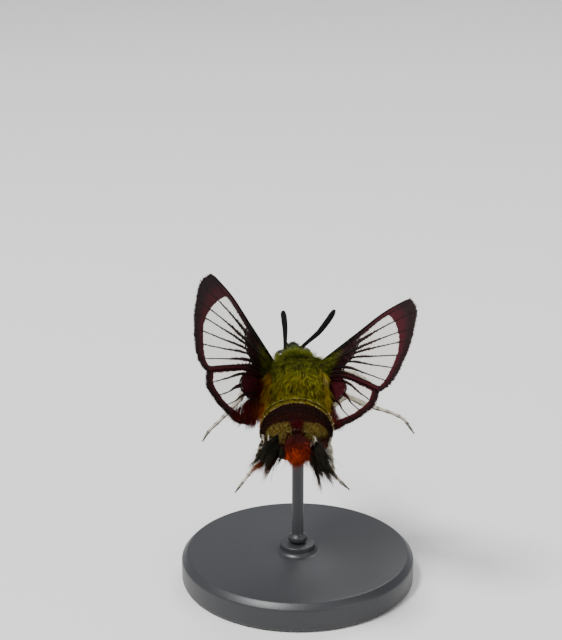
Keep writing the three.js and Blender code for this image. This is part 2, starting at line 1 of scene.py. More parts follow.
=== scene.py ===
# Hummingbird clearwing moth at life size, hovering on a display stand.
# The solids of the frame get their skin, coat, wings, limbs, face and stand here.
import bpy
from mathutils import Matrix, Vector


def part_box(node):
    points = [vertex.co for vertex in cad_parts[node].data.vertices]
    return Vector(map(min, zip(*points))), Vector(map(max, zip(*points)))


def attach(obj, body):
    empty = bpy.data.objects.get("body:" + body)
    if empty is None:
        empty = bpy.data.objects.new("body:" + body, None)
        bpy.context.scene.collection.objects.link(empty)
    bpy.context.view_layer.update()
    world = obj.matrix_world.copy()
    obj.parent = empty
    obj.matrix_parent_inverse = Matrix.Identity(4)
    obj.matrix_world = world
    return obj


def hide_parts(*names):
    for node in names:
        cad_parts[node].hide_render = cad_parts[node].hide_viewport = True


bl_info = {
    "name": "Clearwing moth",
    "version": (1, 0, 0),
    "blender": (4, 5, 0),
    "location": "View3D > Sidebar > Moth",
    "description": "Dresses the frame of a moth with skin, coat, wings, limbs and a stand",
    "category": "Object",
}

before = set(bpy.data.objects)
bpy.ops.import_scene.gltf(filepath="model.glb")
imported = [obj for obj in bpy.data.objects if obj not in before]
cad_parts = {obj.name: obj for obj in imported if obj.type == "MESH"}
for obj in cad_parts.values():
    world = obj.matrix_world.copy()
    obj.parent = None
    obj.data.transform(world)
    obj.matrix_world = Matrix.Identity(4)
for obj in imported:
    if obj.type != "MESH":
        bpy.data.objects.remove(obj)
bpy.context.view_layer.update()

import math
from types import SimpleNamespace

import bmesh
import bpy
import numpy as np
from bpy.props import FloatProperty, FloatVectorProperty, IntProperty, PointerProperty
from bpy.types import Operator, Panel, PropertyGroup
from mathutils import Matrix, Vector
from mathutils.kdtree import KDTree

# Driving dimensions, in millimetres and degrees, as the solids have them
MM = 0.001
FLIGHT_HEIGHT = 27  # middle of the thorax above the table
THORAX_AHEAD = 2.2  # of the stand's rod
THORAX_PITCH = 20
THORAX_LENGTH = 10.6
THORAX_HALF_SIZE = (4.3, 4.1)
NECK = (-0.25, 4.5, 0.2)
HEAD_YAW = 10
HEAD_HALF_SIZE = (1.8, 1.75)
HEAD_LINE = [(0, 3.8, -0.45), (0, 2.2, 0), (0, -0.6, 0.1)]
EYE_RADIUS = 1.1
EYE_PLACE = (1.55, 2.25, -0.15)
ABDOMEN_HALF_SIZE = (4.8, 3.9)
ABDOMEN_STEP = 4
ABDOMEN_RISE = (14, 28, 36, 38, 34)
SEGMENTS = 7
FIRST_RING = 0.12
SEGMENT_LAP = 0.018  # less than the solids', whose ring steps the scales soften
BASE_RADIUS = 16
BASE_HEIGHT = 4
BOSS_RADIUS = 2.4
BOSS_HEIGHT = 1.2
ROD_RADIUS = 0.8
UP = (0, 0, 1)
SIDES = {"right": 1, "left": -1}
WHOLE_TURN = 2 * math.pi


def srgb(code):
    """A colour written as 0xRRGGBB, in the linear numbers that shaders take."""
    parts = [(code >> shift & 255) / 255 for shift in (16, 8, 0)]
    return [c / 12.92 if c < 0.04045 else ((c + 0.055) / 1.055) ** 2.4 for c in parts]


# Frames: the moth on its stand, and its head
MOTH = Matrix.Translation((0, THORAX_AHEAD, FLIGHT_HEIGHT)) @ Matrix.Rotation(
    math.radians(THORAX_PITCH), 4, "X"
)
HEAD = MOTH @ Matrix.Translation(NECK) @ Matrix.Rotation(math.radians(HEAD_YAW), 4, "Z")


def placed(points, frame_matrix):
    """Points of a frame in millimetres, as points of the model in metres."""
    turn = np.array(frame_matrix)
    return (points @ turn[:3, :3].T + turn[:3, 3]) * MM


# Small sums on arrays
def unit(vectors):
    """The same directions, each with a length of 1."""
    return vectors / np.maximum(np.linalg.norm(vectors, axis=-1, keepdims=True), 1e-9)


def rise(value, low, high):
    """0 below low, 1 above high and smooth between."""
    t = np.clip((value - low) / (high - low), 0, 1)
    return t * t * (3 - 2 * t)


def between(value, low, high, soft):
    """1 between low and high and 0 outside them, with soft ends."""
    return rise(value, low - soft, low + soft) * (1 - rise(value, high - soft, high + soft))


def mixed(first, second, share):
    """From the first colour to the second, by a share for each row."""
    share = np.asarray(share)[..., None]
    return np.asarray(first) * (1 - share) + np.asarray(second) * share


def turned_curve(start, end, leave, arrive, t):
    """Between two values, with the slopes that it leaves and arrives with."""
    bend = 3 * (end - start) - 2 * leave - arrive
    return start + leave * t + bend * t**2 + (2 * (start - end) + leave + arrive) * t**3


def hump(value, middle, spread):
    """1 at the middle, falling off to both sides."""
    return np.exp(-(((value - middle) / spread) ** 2))


def from_top(angle):
    """Degrees round a form from its top, to either side."""
    return np.degrees(np.abs(np.arctan2(np.cos(angle), np.sin(angle))))


def along_surface(vectors, normal):
    """The part of each vector that lies along a surface."""
    return vectors - normal * (vectors * normal).sum(-1, keepdims=True)


def shares_along(points):
    """How far along a row of points each one lies, from 0 to 1, and the row's length."""
    steps = np.linalg.norm(np.diff(points, axis=0), axis=1)
    length = steps.sum()
    return np.concatenate([[0], np.cumsum(steps)]) / length, length


class Line:
    """A smooth line through a few points, read by its share of the length."""

    STEPS = 24
    NEAR = 0.004  # share of the length over which its way is read

    def __init__(self, points, tension=0.5, held_ends=False):
        p = np.array(points, float)
        first = p[0] if held_ends else 2 * p[0] - p[1]
        last = p[-1] if held_ends else 2 * p[-1] - p[-2]
        p = np.vstack([first, p, last])
        t = np.linspace(0, 1, self.STEPS, endpoint=False)[:, None]
        spans = []
        for before, start, end, after in zip(p, p[1:], p[2:], p[3:]):
            leave = tension * (end - before)
            arrive = tension * (after - start)
            spans.append(turned_curve(start, end, leave, arrive, t))
        self.points = np.vstack(spans + [p[-2]])
        self.places, self.length = shares_along(self.points)

    def at(self, place):
        place = np.asarray(place, float)
        axes = [np.interp(place, self.places, axis) for axis in self.points.T]
        return np.stack(axes, -1)

    def way(self, place):
        near = np.clip(np.asarray(place, float), self.NEAR, 1 - self.NEAR)
        return unit(self.at(near + self.NEAR) - self.at(near - self.NEAR))

    def section(self, place, lean):
        """The way along, and the ways across and up, with up turned towards the lean."""
        way = self.way(place)
        across = unit(np.cross(lean, way))
        return way, across, np.cross(way, across)


def smooth_sizes(stations, front_cap, rear_cap, half_size):
    """Half width and half height along a form, smooth through stations, with round ends."""
    places, *columns = np.array(stations, float).T
    slopes = [np.gradient(column, places) for column in columns]

    def sizes(place, angle):
        place = np.clip(place, 0, 1)
        i = np.clip(np.searchsorted(places, place, side="right") - 1, 0, len(places) - 2)
        span = places[i + 1] - places[i]
        t = (place - places[i]) / span
        end = np.sqrt(1 - (1 - np.minimum(place / front_cap, 1)) ** 2)
        end = end * np.sqrt(1 - (1 - np.minimum((1 - place) / rear_cap, 1)) ** 2)
        found = []
        for column, slope, half in zip(columns, slopes, half_size):
            start, stop = column[i], column[i + 1]
            leave, arrive = slope[i] * span, slope[i + 1] * span
            found.append(turned_curve(start, stop, leave, arrive, t) * end * half)
        return found

    return sizes


class Form:
    """A round body drawn out along a line, pole to pole. Angle 0 is its right side, and
    a quarter turn is its top, which leans towards `lean`. The coat's depth comes off it."""

    STEP = 0.004  # along it, to either side of a root, over which its ways are read
    TURN = 0.02  # and round it
    LEAST = 0.2  # share of its size that the coat's depth leaves near its poles

    def __init__(self, line, sizes, depth=0.0, lean=UP, frame_matrix=MOTH):
        self.line = line
        self.sizes = sizes
        self.depth = depth
        self.lean = np.array(lean, float)
        self.frame = frame_matrix

    def point(self, place, angle):
        place = np.clip(place, 0, 1)
        _, across, up = self.line.section(place, self.lean)
        width, height = self.sizes(place, angle)
        width = np.maximum(width - self.depth, width * self.LEAST)
        height = np.maximum(height - self.depth, height * self.LEAST)
        sideways = across * (width * np.cos(angle))[..., None]
        return self.line.at(place) + sideways + up * (height * np.sin(angle))[..., None]

    def surface(self, place, angle):
        """Roots on the surface: where they are, the outward way, the way to the rear end
        and the way round, with the root's place on an unwrap of the form."""
        inner = np.clip(place, 0.01, 0.99)
        rear = self.point(inner + self.STEP, angle) - self.point(inner - self.STEP, angle)
        sideways = self.point(inner, angle + self.TURN) - self.point(inner, angle - self.TURN)
        return SimpleNamespace(
            root=self.point(place, angle),
            normal=unit(np.cross(sideways, rear)),
            rear=unit(rear),
            round=unit(sideways),
            unwrap=np.stack([(angle / WHOLE_TURN) % 1, place], -1),
            frame=self.frame,
        )


def outward_turn(angle):
    """How far the fur of the back turns away from the midline, to either side."""
    return -np.sign(np.cos(angle)) * np.abs(np.cos(angle)) ** 0.5


def scattered(form, count, rng, places, angles=(-180, 180)):
    """Random places and angles on a form, spread evenly over its surface."""
    place = rng.uniform(*places, count * 4)
    angle = np.radians(rng.uniform(*angles, count * 4))
    width, height = form.sizes(place, angle)
    girth = width + height
    kept = rng.uniform(0, 1, count * 4) < girth / girth.max()
    return place[kept][:count], angle[kept][:count]


# The forms of the body, as the solids have them
def thorax_form(depth=0.0):
    plain = smooth_sizes(
        [(0, 0.72, 0.74), (0.3, 0.93, 0.95), (0.55, 1, 1), (0.8, 0.98, 0.96), (1, 0.9, 0.86)],
        0.42,
        0.34,
        THORAX_HALF_SIZE,
    )
    lobe = SimpleNamespace(place=0.38, length=0.2, angle=48, spread=24, rise=0.17)

    def sizes(place, angle):
        width, height = plain(place, angle)
        swell = lobe.rise * hump(place, lobe.place, lobe.length)
        swell = 1 + swell * hump(from_top(angle), lobe.angle, lobe.spread)
        return width * swell, height * swell

    half = THORAX_LENGTH / 2
    return Form(Line([(0, half, 0), (0, -half, 0)]), sizes, depth)


def head_form(depth=0.0):
    plain = smooth_sizes(
        [(0, 0.85, 0.85), (0.35, 1, 1), (0.7, 0.97, 0.95), (1, 0.9, 0.85)],
        0.34,
        0.3,
        HEAD_HALF_SIZE,
    )
    crest = SimpleNamespace(place=0.3, length=0.22, spread=40, rise=0.2)

    def sizes(place, angle):
        width, height = plain(place, angle)
        swell = crest.rise * hump(place, crest.place, crest.length)
        return width, height * (1 + swell * hump(from_top(angle), 0, crest.spread))

    return Form(Line(HEAD_LINE), sizes, depth, frame_matrix=HEAD)


def abdomen_line():
    points = [np.array((0, -3.4, -1.25)), np.array((-0.1, -4.9, -1.0))]
    for before, after in zip(ABDOMEN_RISE, ABDOMEN_RISE[1:]):
        climb = math.radians((before + after) / 2)
        step = np.array((0, -math.cos(climb), math.sin(climb))) * ABDOMEN_STEP
        points.append(points[-1] + step)
        points[-1][0] = -0.3
    points.append(points[-1] + np.array((0, -1.2, 0.35)))
    return Line(points)


def abdomen_form(depth=0.0):
    plain = smooth_sizes(
        [
            (0, 0.78, 0.82),
            (0.26, 1, 1),
            (0.5, 0.96, 0.93),
            (0.7, 0.79, 0.76),
            (0.87, 0.54, 0.55),
            (1, 0.4, 0.4),
        ],
        0.06,
        0.05,
        ABDOMEN_HALF_SIZE,
    )

    def sizes(place, angle):
        width, height = plain(place, angle)
        along = np.maximum(0, (place - FIRST_RING) / (1 - FIRST_RING)) * SEGMENTS
        lap = 1 - SEGMENT_LAP * (1 - along % 1)
        return width * lap, height * lap

    return Form(abdomen_line(), sizes, depth)


def limb_form(joints, depth=0.0, lean=UP, frame_matrix=MOTH, tension=0.3, rings=None):
    """A limb through its joints, each (x, y, z, radius). rings(place) swells it along."""
    joints = np.array(joints, float)
    line = Line(joints[:, :3], tension)
    places, _ = shares_along(joints[:, :3])
    stations = [(place, radius, radius) for place, radius in zip(places, joints[:, 3])]
    plain = smooth_sizes(stations, 0.02, 0.04, (1, 1))

    def sizes(place, angle):
        width, height = plain(place, angle)
        swell = rings(place) if rings else 1
        return width * swell, height * swell

    return Form(line, sizes, depth, lean, frame_matrix)


# Meshes
def tint_layer(bm):
    return bm.verts.layers.float_color.get("tint") or bm.verts.layers.float_color.new("tint")


def drawn_out(bm, form, rings, sides, tint=(0.5, 0.5, 0.5), even=False):
    """Adds a form to a mesh: a sphere whose rings are moved out along the form's line.
    tint is a colour, or a function of place and angle, and its alpha holds the place."""
    layer = tint_layer(bm)
    made = bmesh.ops.create_uvsphere(bm, u_segments=sides, v_segments=rings, radius=1)
    verts = made["verts"]
    co = np.array([v.co[:] for v in verts])
    ring = np.rint(np.arccos(np.clip(co[:, 2], -1, 1)) / np.pi * rings) / rings
    place = ring if even else (1 - np.cos(np.pi * ring)) / 2
    angle = np.arctan2(co[:, 1], co[:, 0])
    points = placed(form.point(place, angle), form.frame)
    colours = tint(place, angle) if callable(tint) else np.tile(tint, (len(verts), 1))
    for vert, point, colour, along in zip(verts, points, colours, place):
        vert.co = point
        vert[layer] = (*colour, along)
    faces = {face for vert in verts for face in vert.link_faces}
    bmesh.ops.reverse_faces(bm, faces=list(faces))


def linked(name, data):
    """A new object of the scene, at its origin."""
    thing = bpy.data.objects.new(name, data)
    bpy.context.scene.collection.objects.link(thing)
    return thing


def shown(name, mesh, material, slot, *replaced):
    """Shows a mesh, or a bmesh, as a piece of the model, with its finish."""
    if isinstance(mesh, bmesh.types.BMesh):
        mesh = mesh_of(name, mesh)
    mesh.shade_smooth()
    mesh.materials.append(material)
    piece = linked(name, mesh)
    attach(piece, "root")
    if replaced:
        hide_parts(*replaced)
    return piece


def drawn_piece(name, form, rings, sides, tint, finish, slot, *replaced, even=False):
    """Shows one drawn-out form as a piece."""
    bm = bmesh.new()
    drawn_out(bm, form, rings, sides, tint, even)
    shown(name, bm, toned(finish), slot, *replaced)


def mesh_of(name, bm):
    mesh = bpy.data.meshes.new(name)
    bm.to_mesh(mesh)
    bm.free()
    return mesh


# The coat is made of closed blades, each a small sphere drawn out and bent
BLADE_SIDES = 3
STRAND = SimpleNamespace(places=(0, 0.3, 0.7, 1), widths=(0, 1, 0.75, 0))
SCALE = SimpleNamespace(places=(0, 0.25, 0.82, 1), widths=(0, 0.85, 1, 0))
PATCH = 0.003  # a blade's size on the unwrap
DARK_CLUMP = 0.15  # painted shade: brightness of a clump painted dark, as one that lies in shade


def blade_template():
    """One blade's rings, the ways round it and its triangles."""
    rings = len(STRAND.places) - 1
    bm = bmesh.new()
    bmesh.ops.create_uvsphere(bm, u_segments=BLADE_SIDES, v_segments=rings, radius=1)
    bmesh.ops.triangulate(bm, faces=bm.faces[:])
    bm.verts.index_update()
    co = np.array([v.co[:] for v in bm.verts])
    ring = np.rint(np.arccos(np.clip(-co[:, 2], -1, 1)) / np.pi * rings).astype(int)
    triangles = np.array([[v.index for v in face.verts] for face in bm.faces])
    bm.free()
    return ring, unit(co[:, :2]), triangles


BLADE_RING, BLADE_ROUND, BLADE_TRIANGLES = blade_template()


def clumps(roots, rng, strands_each):
    """The number of the clump that each root leans to, and the clumps' own roots."""
    centres = roots[rng.choice(len(roots), max(1, len(roots) // strands_each), replace=False)]
    tree = KDTree(len(centres))
    for number, centre in enumerate(centres):
        tree.insert(centre, number)
    tree.balance()
    return np.array([tree.find(root)[1] for root in roots]), centres


def laid(on, rng, tint, length, width, lift=0.4, curl=-0.2, splay=0.0, messy=0.2, flat=0.35,
         profile=STRAND, shade=0.18, sink=0.05, clump=0, pull=0.7, uneven=0.18, shade_gaps=0.0,
         light=0.0):
    """Blades rooted on a surface. Each runs to the rear, turned by splay, lifts off by
    lift and bends back by curl, as shares of its length. tint is one colour for each.
    Where clump is set, that many blades at a time lean together and share a brightness
    that varies by uneven, and a share of the clumps, shade_gaps, is painted dark as shade in
    gaps of the coat. light takes the painted shade off the roots."""
    count = len(on.root)
    length = np.broadcast_to(length, count) * rng.uniform(0.75, 1.2, count)
    width = np.broadcast_to(width, count) * rng.uniform(0.8, 1.25, count)
    turn = np.broadcast_to(splay, count) + rng.normal(0, messy, count)
    lift = lift * rng.uniform(0.6, 1.3, count)
    bright = rng.uniform(1 - shade, 1 + shade, count)
    toward = np.zeros((count, 3))
    if clump:
        number, centres = clumps(on.root, rng, clump)
        toward = along_surface((centres[number] - on.root) * pull, on.normal)
        total = len(centres)
        turn = turn + rng.normal(0, 0.16, total)[number]
        lift = lift * rng.uniform(0.6, 1.4, total)[number]
        length = length * rng.uniform(0.85, 1.15, total)[number]
        uneven = np.broadcast_to(uneven, count)
        bright = bright * (1 + uneven * rng.uniform(-1, 1, total)[number])
        dark = rng.uniform(0, 1, total)[number] < shade_gaps
        bright = bright * np.where(dark, DARK_CLUMP, 1)
    lie = unit(along_surface(unit(on.rear + on.round * turn[:, None]), on.normal))
    across = np.cross(on.normal, lie)
    sway = rng.normal(0, 0.1, count)
    along = np.array(profile.places)[BLADE_RING]
    broad = np.array(profile.widths)[BLADE_RING]
    t = along[None, :, None]
    size = length[:, None, None]
    points = on.root[:, None] - on.normal[:, None] * sink + lie[:, None] * size * t
    points = points + toward[:, None] * t
    points = points + on.normal[:, None] * size * (lift[:, None, None] * t + curl * t * t)
    sideways = size * sway[:, None, None] * t * t
    sideways = sideways + width[:, None, None] / 2 * (broad * BLADE_ROUND[:, 0])[None, :, None]
    points = points + across[:, None] * sideways
    thick = width[:, None, None] / 2 * flat * (broad * BLADE_ROUND[:, 1])[None, :, None]
    points = points + on.normal[:, None] * thick
    colour = np.empty((count, len(along), 4))
    colour[..., :3] = (tint * bright[:, None])[:, None]
    # alpha: share along the blade, which the finish paints as shade at the root and lighter at the
    # tip
    colour[..., 3] = light + (1 - light) * along
    patch = np.stack([BLADE_ROUND[:, 0] * broad / 2, along - 0.5], -1) * PATCH
    centre = np.clip(on.unwrap, PATCH, 1 - PATCH)
    return placed(points, on.frame), colour, centre[:, None] + patch


def coat(name, batches, slot, *replaced, finish="Fur"):
    """Joins batches of blades into one piece with their tints and their unwrap."""
    points = np.concatenate([batch[0] for batch in batches])
    colours = np.concatenate([batch[1] for batch in batches])
    unwrap = np.concatenate([batch[2] for batch in batches])
    count, corners = points.shape[:2]
    faces = (BLADE_TRIANGLES[None] + np.arange(count)[:, None, None] * corners).reshape(-1, 3)
    mesh = bpy.data.meshes.new(name)
    mesh.from_pydata(points.reshape(-1, 3), [], faces)
    tint = mesh.attributes.new("tint", "FLOAT_COLOR", "POINT")
    tint.data.foreach_set("color", colours.ravel().astype(np.float32))
    layer = mesh.uv_layers.new(name="OFBake")
    corner_places = unwrap.reshape(-1, 2)[faces.ravel()]
    layer.uv.foreach_set("vector", corner_places.ravel().astype(np.float32))
    shown(name, mesh, toned(finish), slot, *replaced)


# Node trees
def wire(tree, node, sockets):
    """Sets a node's inputs to values, or links them to other nodes' sockets."""
    for name, value in sockets.items():
        if isinstance(value, bpy.types.NodeSocket):
            tree.links.new(value, node.inputs[name])
        else:
            node.inputs[name].default_value = value
    return node


def add(tree, kind, sockets, **settings):
    """A new shader node with its settings and its sockets."""
    node = tree.nodes.new(f"ShaderNode{kind}")
    for name, value in settings.items():
        setattr(node, name, value)
    return wire(tree, node, sockets)


def object_place(tree):
    return add(tree, "TexCoord", {}).outputs["Object"]


def noise_of(tree, scale, detail):
    sockets = {"Vector": object_place(tree), "Scale": scale, "Detail": detail}
    return add(tree, "TexNoise", sockets).outputs["Fac"]


def sum_of(tree, operation, *values):
    """What a sum of that kind makes of the values."""
    return add(tree, "Math", dict(enumerate(values)), operation=operation).outputs[0]


def from_range(tree, value, **ends):
    """Maps a value's range, from 0 to 1 where no other is given, onto another."""
    sockets = {key.replace("_", " ").title(): end for key, end in ends.items()}
    return add(tree, "MapRange", {"Value": value, **sockets}).outputs["Result"]


def bump(tree, height, strength, distance):
    sockets = {"Height": height, "Strength": strength, "Distance": distance}
    return add(tree, "Bump", sockets).outputs["Normal"]


def wandering(tree, scale, first, second):
    """A noise, and a colour that wanders with it between two."""
    noise = noise_of(tree, scale, 2)
    ramp = add(tree, "ValToRGB", {"Fac": noise})
    for element, colour in zip(ramp.color_ramp.elements, (first, second)):
        element.color = (*colour, 1)
    return noise, ramp.outputs["Color"]


def new_material(name):
    """A new material, its node tree and its shader."""
    material = bpy.data.materials.new(name)
    material.use_nodes = True
    return material, material.node_tree, material.node_tree.nodes["Principled BSDF"]


def group(name, inputs, outputs):
    """An empty shader node group with named sockets."""
    tree = bpy.data.node_groups.new(name, "ShaderNodeTree")
    for direction, sockets in (("INPUT", inputs), ("OUTPUT", outputs)):
        for socket, kind in sockets.items():
            tree.interface.new_socket(socket, in_out=direction, socket_type=f"NodeSocket{kind}")
    given = tree.nodes.new("NodeGroupInput").outputs
    return tree, given, tree.nodes.new("NodeGroupOutput").inputs


def strand_tone():
    """Paints shade on a tint, dark at its root and lighter towards its tip, and mottles it."""
    tree, given, out = group(
        "Strand tone",
        {"Tint": "Color", "Along": "Float", "Root": "Float", "Tip": "Float",
         "Mottle": "Float", "Scale": "Float"},
        {"Colour": "Color"},
    )
    spread = sum_of(tree, "SUBTRACT", noise_of(tree, given["Scale"], 3), 0.5)
    spread = sum_of(tree, "MULTIPLY_ADD", spread, given["Mottle"], 1.0)
    shade = from_range(tree, given["Along"], to_min=given["Root"], to_max=given["Tip"])
    amount = sum_of(tree, "MULTIPLY", spread, shade)
    toned_tint = add(tree, "VectorMath", {0: given["Tint"], "Scale": amount}, operation="SCALE")
    tree.links.new(toned_tint.outputs["Vector"], out["Colour"])
    return tree


def fine_relief():
    """A height of small cells over soft noise."""
    tree, given, out = group(
        "Fine relief", {"Scale": "Float", "Cells": "Float"}, {"Height": "Float"}
    )
    cells = add(tree, "TexVoronoi", {"Vector": object_place(tree), "Scale": given["Cells"]})
    height = sum_of(
        tree, "MULTIPLY_ADD", cells.outputs["Distance"], 0.6, noise_of(tree, given["Scale"], 4)
    )
    tree.links.new(height, out["Height"])
    return tree


def shared(name, make):
    return bpy.data.node_groups.get(name) or make()


def shaded_tint(tree, **values):
    """The mesh's own tint, with painted shade from root to tip, and mottled."""
    tint = add(tree, "Attribute", {}, attribute_name="tint").outputs
    sockets = {"Tint": tint["Color"], "Along": tint["Alpha"]}
    sockets.update({key.title(): value for key, value in values.items()})
    tone = add(tree, "Group", sockets, node_tree=shared("Strand tone", strand_tone))
    return tone.outputs["Colour"]


# Finishes that take their colour from the tint: painted shade at the root and brightness at the tip,
# mottle, roughness, specular level, and the strength and cells of the relief
FINISHES = {
    "Fur": (0.35, 1.2, 0.15, 0.8, 0.1, 0, 0),
    "Flat scales": (0.8, 1.1, 0.3, 0.6, 0.0, 0, 0),
    "Skin": (1, 1, 0.5, 0.6, 0.08, 0.6, 6000),
    "Antenna": (1, 1, 0.3, 0.75, 0.08, 0.6, 9000),
    "Horn": (1, 1, 0.3, 0.42, 0.15, 0.5, 9000),
}
GRAIN = 1500  # fineness of the noise in them, which counts in metres
RELIEF = 0.06 * MM  # how high it stands


def toned(name):
    """The finish of that name, made when it is first asked for."""
    if name in bpy.data.materials:
        return bpy.data.materials[name]
    root, tip, mottle, roughness, specular, relief, cells = FINISHES[name]
    material, tree, shader = new_material(name)
    tone = shaded_tint(tree, root=root, tip=tip, mottle=mottle, scale=GRAIN)
    wire(tree, shader, {
        "Base Color": tone, "Roughness": roughness, "Specular IOR Level": specular,
    })
    if relief:
        height = add(
            tree, "Group", {"Scale": GRAIN, "Cells": cells},
            node_tree=shared("Fine relief", fine_relief),
        )
        wire(tree, shader, {"Normal": bump(tree, height.outputs["Height"], relief, RELIEF)})
    return material


# Markings: linear colours at a place along a form and an angle round it
def thorax_tint(place, angle, c):
    up = np.sin(angle)
    side = np.abs(np.cos(angle))
    tone = mixed(c.olive_dark, c.olive, rise(place, 0.1, 0.5))
    tone = mixed(tone, c.olive_gold, rise(place, 0.55, 0.9))
    tone = mixed(tone, c.tan, 0.7 * rise(side, 0.75, 0.98) * rise(place, 0.4, 0.7))
    return mixed(tone, c.cream, rise(-up, 0.05, 0.5))


def head_tint(place, angle, c):
    up = np.sin(angle)
    tone = mixed(c.crest_grey, c.olive_dark, rise(place, 0.2, 0.55))
    tone = mixed(tone, c.olive, rise(place, 0.6, 0.95))
    tone = mixed(tone, c.black, 0.8 * between(up, -0.15, 0.3, 0.12) * (1 - rise(place, 0.7, 0.9)))
    return mixed(tone, c.cream, rise(-up, 0.15, 0.4))


# Places along the abdomen where its colours change
GOLD_END = 0.385
PATCH_START = 0.82  # at the top, and PATCH_LEAD earlier at the sides
PATCH_LEAD = 0.2
PATCH_END = 0.965


def abdomen_tint(place, angle, c):
    """Gold first rings, a dark band, dull patches to both sides, and a rust underside."""
    up = np.sin(angle)
    side = np.abs(np.cos(angle))
    flank = rise(side, 0.8, 0.97)
    tone = mixed(c.olive_gold, c.orange, np.maximum(0.8 * flank, 0.12 * rise(place, 0.24, 0.28)))
    tone = mixed(tone, mixed(c.olive, c.red_brown, 0.3), 0.55 * rise(place, 0.23, 0.27))
    for end in (0.25, GOLD_END):
        tone = mixed(tone, c.red_brown, 0.75 * between(place, end - 0.025, end + 0.01, 0.004))
    band = mixed(c.maroon, c.burgundy, 0.7 * rise(up, 0.93, 0.99) * between(place, 0.8, 0.94, 0.03))
    tone = mixed(tone, band, rise(place, GOLD_END - 0.012, GOLD_END + 0.012))
    patch = between(place, PATCH_START - PATCH_LEAD * side**3, PATCH_END, 0.015)
    patch = patch * rise(side, 0.28, 0.46) * rise(up, -0.1, 0.15)
    patch = patch * (0.78 + 0.22 * np.sin(angle * 41) * np.sin(angle * 17 + place * 30))
    tone = mixed(tone, c.olive_dull, patch)
    tone = mixed(tone, c.red_brown, rise(place, PATCH_END, PATCH_END + 0.015))
    below = rise(-up, 0.1, 0.5)
    return mixed(tone, mixed(c.rust_dark, c.cream, 0.25 * (1 - rise(place, 0.2, 0.5))), below)


def length_property(name, size, description):
    """A length, given in millimetres."""
    return FloatProperty(
        name=name, description=description, default=size * MM, precision=5, unit="LENGTH"
    )


class MothSizes(PropertyGroup):
    """Sizes of the coat and of the thin parts"""

    fur_depth: length_property("Fur depth", 0.35, "How far the skin lies inside the coat")
    scale_depth: length_property(
        "Scale depth", 0.08, "How far the roots of the abdomen's scales lie inside the outline"
    )
    fur_length: length_property("Fur length", 1.4, "Length of the fur in the middle of the back")
    fur_width: length_property("Fur width", 0.075, "Width of a strand of fur")
    scale_length: length_property("Scale length", 0.5, "Length of a flat scale on the abdomen")
    membrane: length_property("Membrane", 0.05, "Thickness of a wing between its veins")
    back_strands: IntProperty(
        name="Back strands", description="Strands of fur on each half of the back", default=10000
    )


def colour_property(name, code, description):
    return FloatVectorProperty(
        name=name, description=description, default=srgb(code), size=3, subtype="COLOR"
    )


class MothColours(PropertyGroup):
    """Colours of the coat, the wings and the stand"""

    olive: colour_property("Olive", 0x5E6118, "Fur of the back")
    olive_dark: colour_property("Dark olive", 0x535A22, "Fur of the neck and the front of the back")
    olive_gold: colour_property("Olive gold", 0x868014, "Fur of the rear of the thorax")
    olive_dull: colour_property("Dull olive", 0x645827, "Patches on the abdomen")
    tan: colour_property("Tan", 0x8E5810, "Fur of the flanks")
    orange: colour_property("Orange", 0xB4620A, "Sides of the first rings")
    cream: colour_property("Cream", 0xE0D4A8, "Throat, belly, legs and fringes")
    crest_grey: colour_property("Crest grey", 0x4E5442, "Crest of the head")
    maroon: colour_property("Maroon", 0x201310, "Dark band of the abdomen")
    red_brown: colour_property("Red brown", 0x340C06, "Rings before the tail")
    rust: colour_property("Rust", 0xA4380E, "Tail brush")
    rust_dark: colour_property("Dark rust", 0x5E1206, "Underside of the abdomen")
    burgundy: colour_property("Burgundy", 0x3C0812, "Wing bases and borders")
    black: colour_property("Black", 0x080605, "Tail tufts, antennae and wing veins")
    paint: colour_property("Stand paint", 0x2A2B2D, "Painted steel of the stand")


def colours(context):
    """The colours as arrays."""
    given = context.scene.moth_colours
    arrays = {key: np.array(getattr(given, key)) for key in given.__annotations__}
    return SimpleNamespace(**arrays)


def lengths(context):
    """The sizes in millimetres."""
    given = context.scene.moth_sizes
    sizes = {key: getattr(given, key) / MM for key in given.__annotations__}
    sizes["back_strands"] = given.back_strands
    return SimpleNamespace(**sizes)


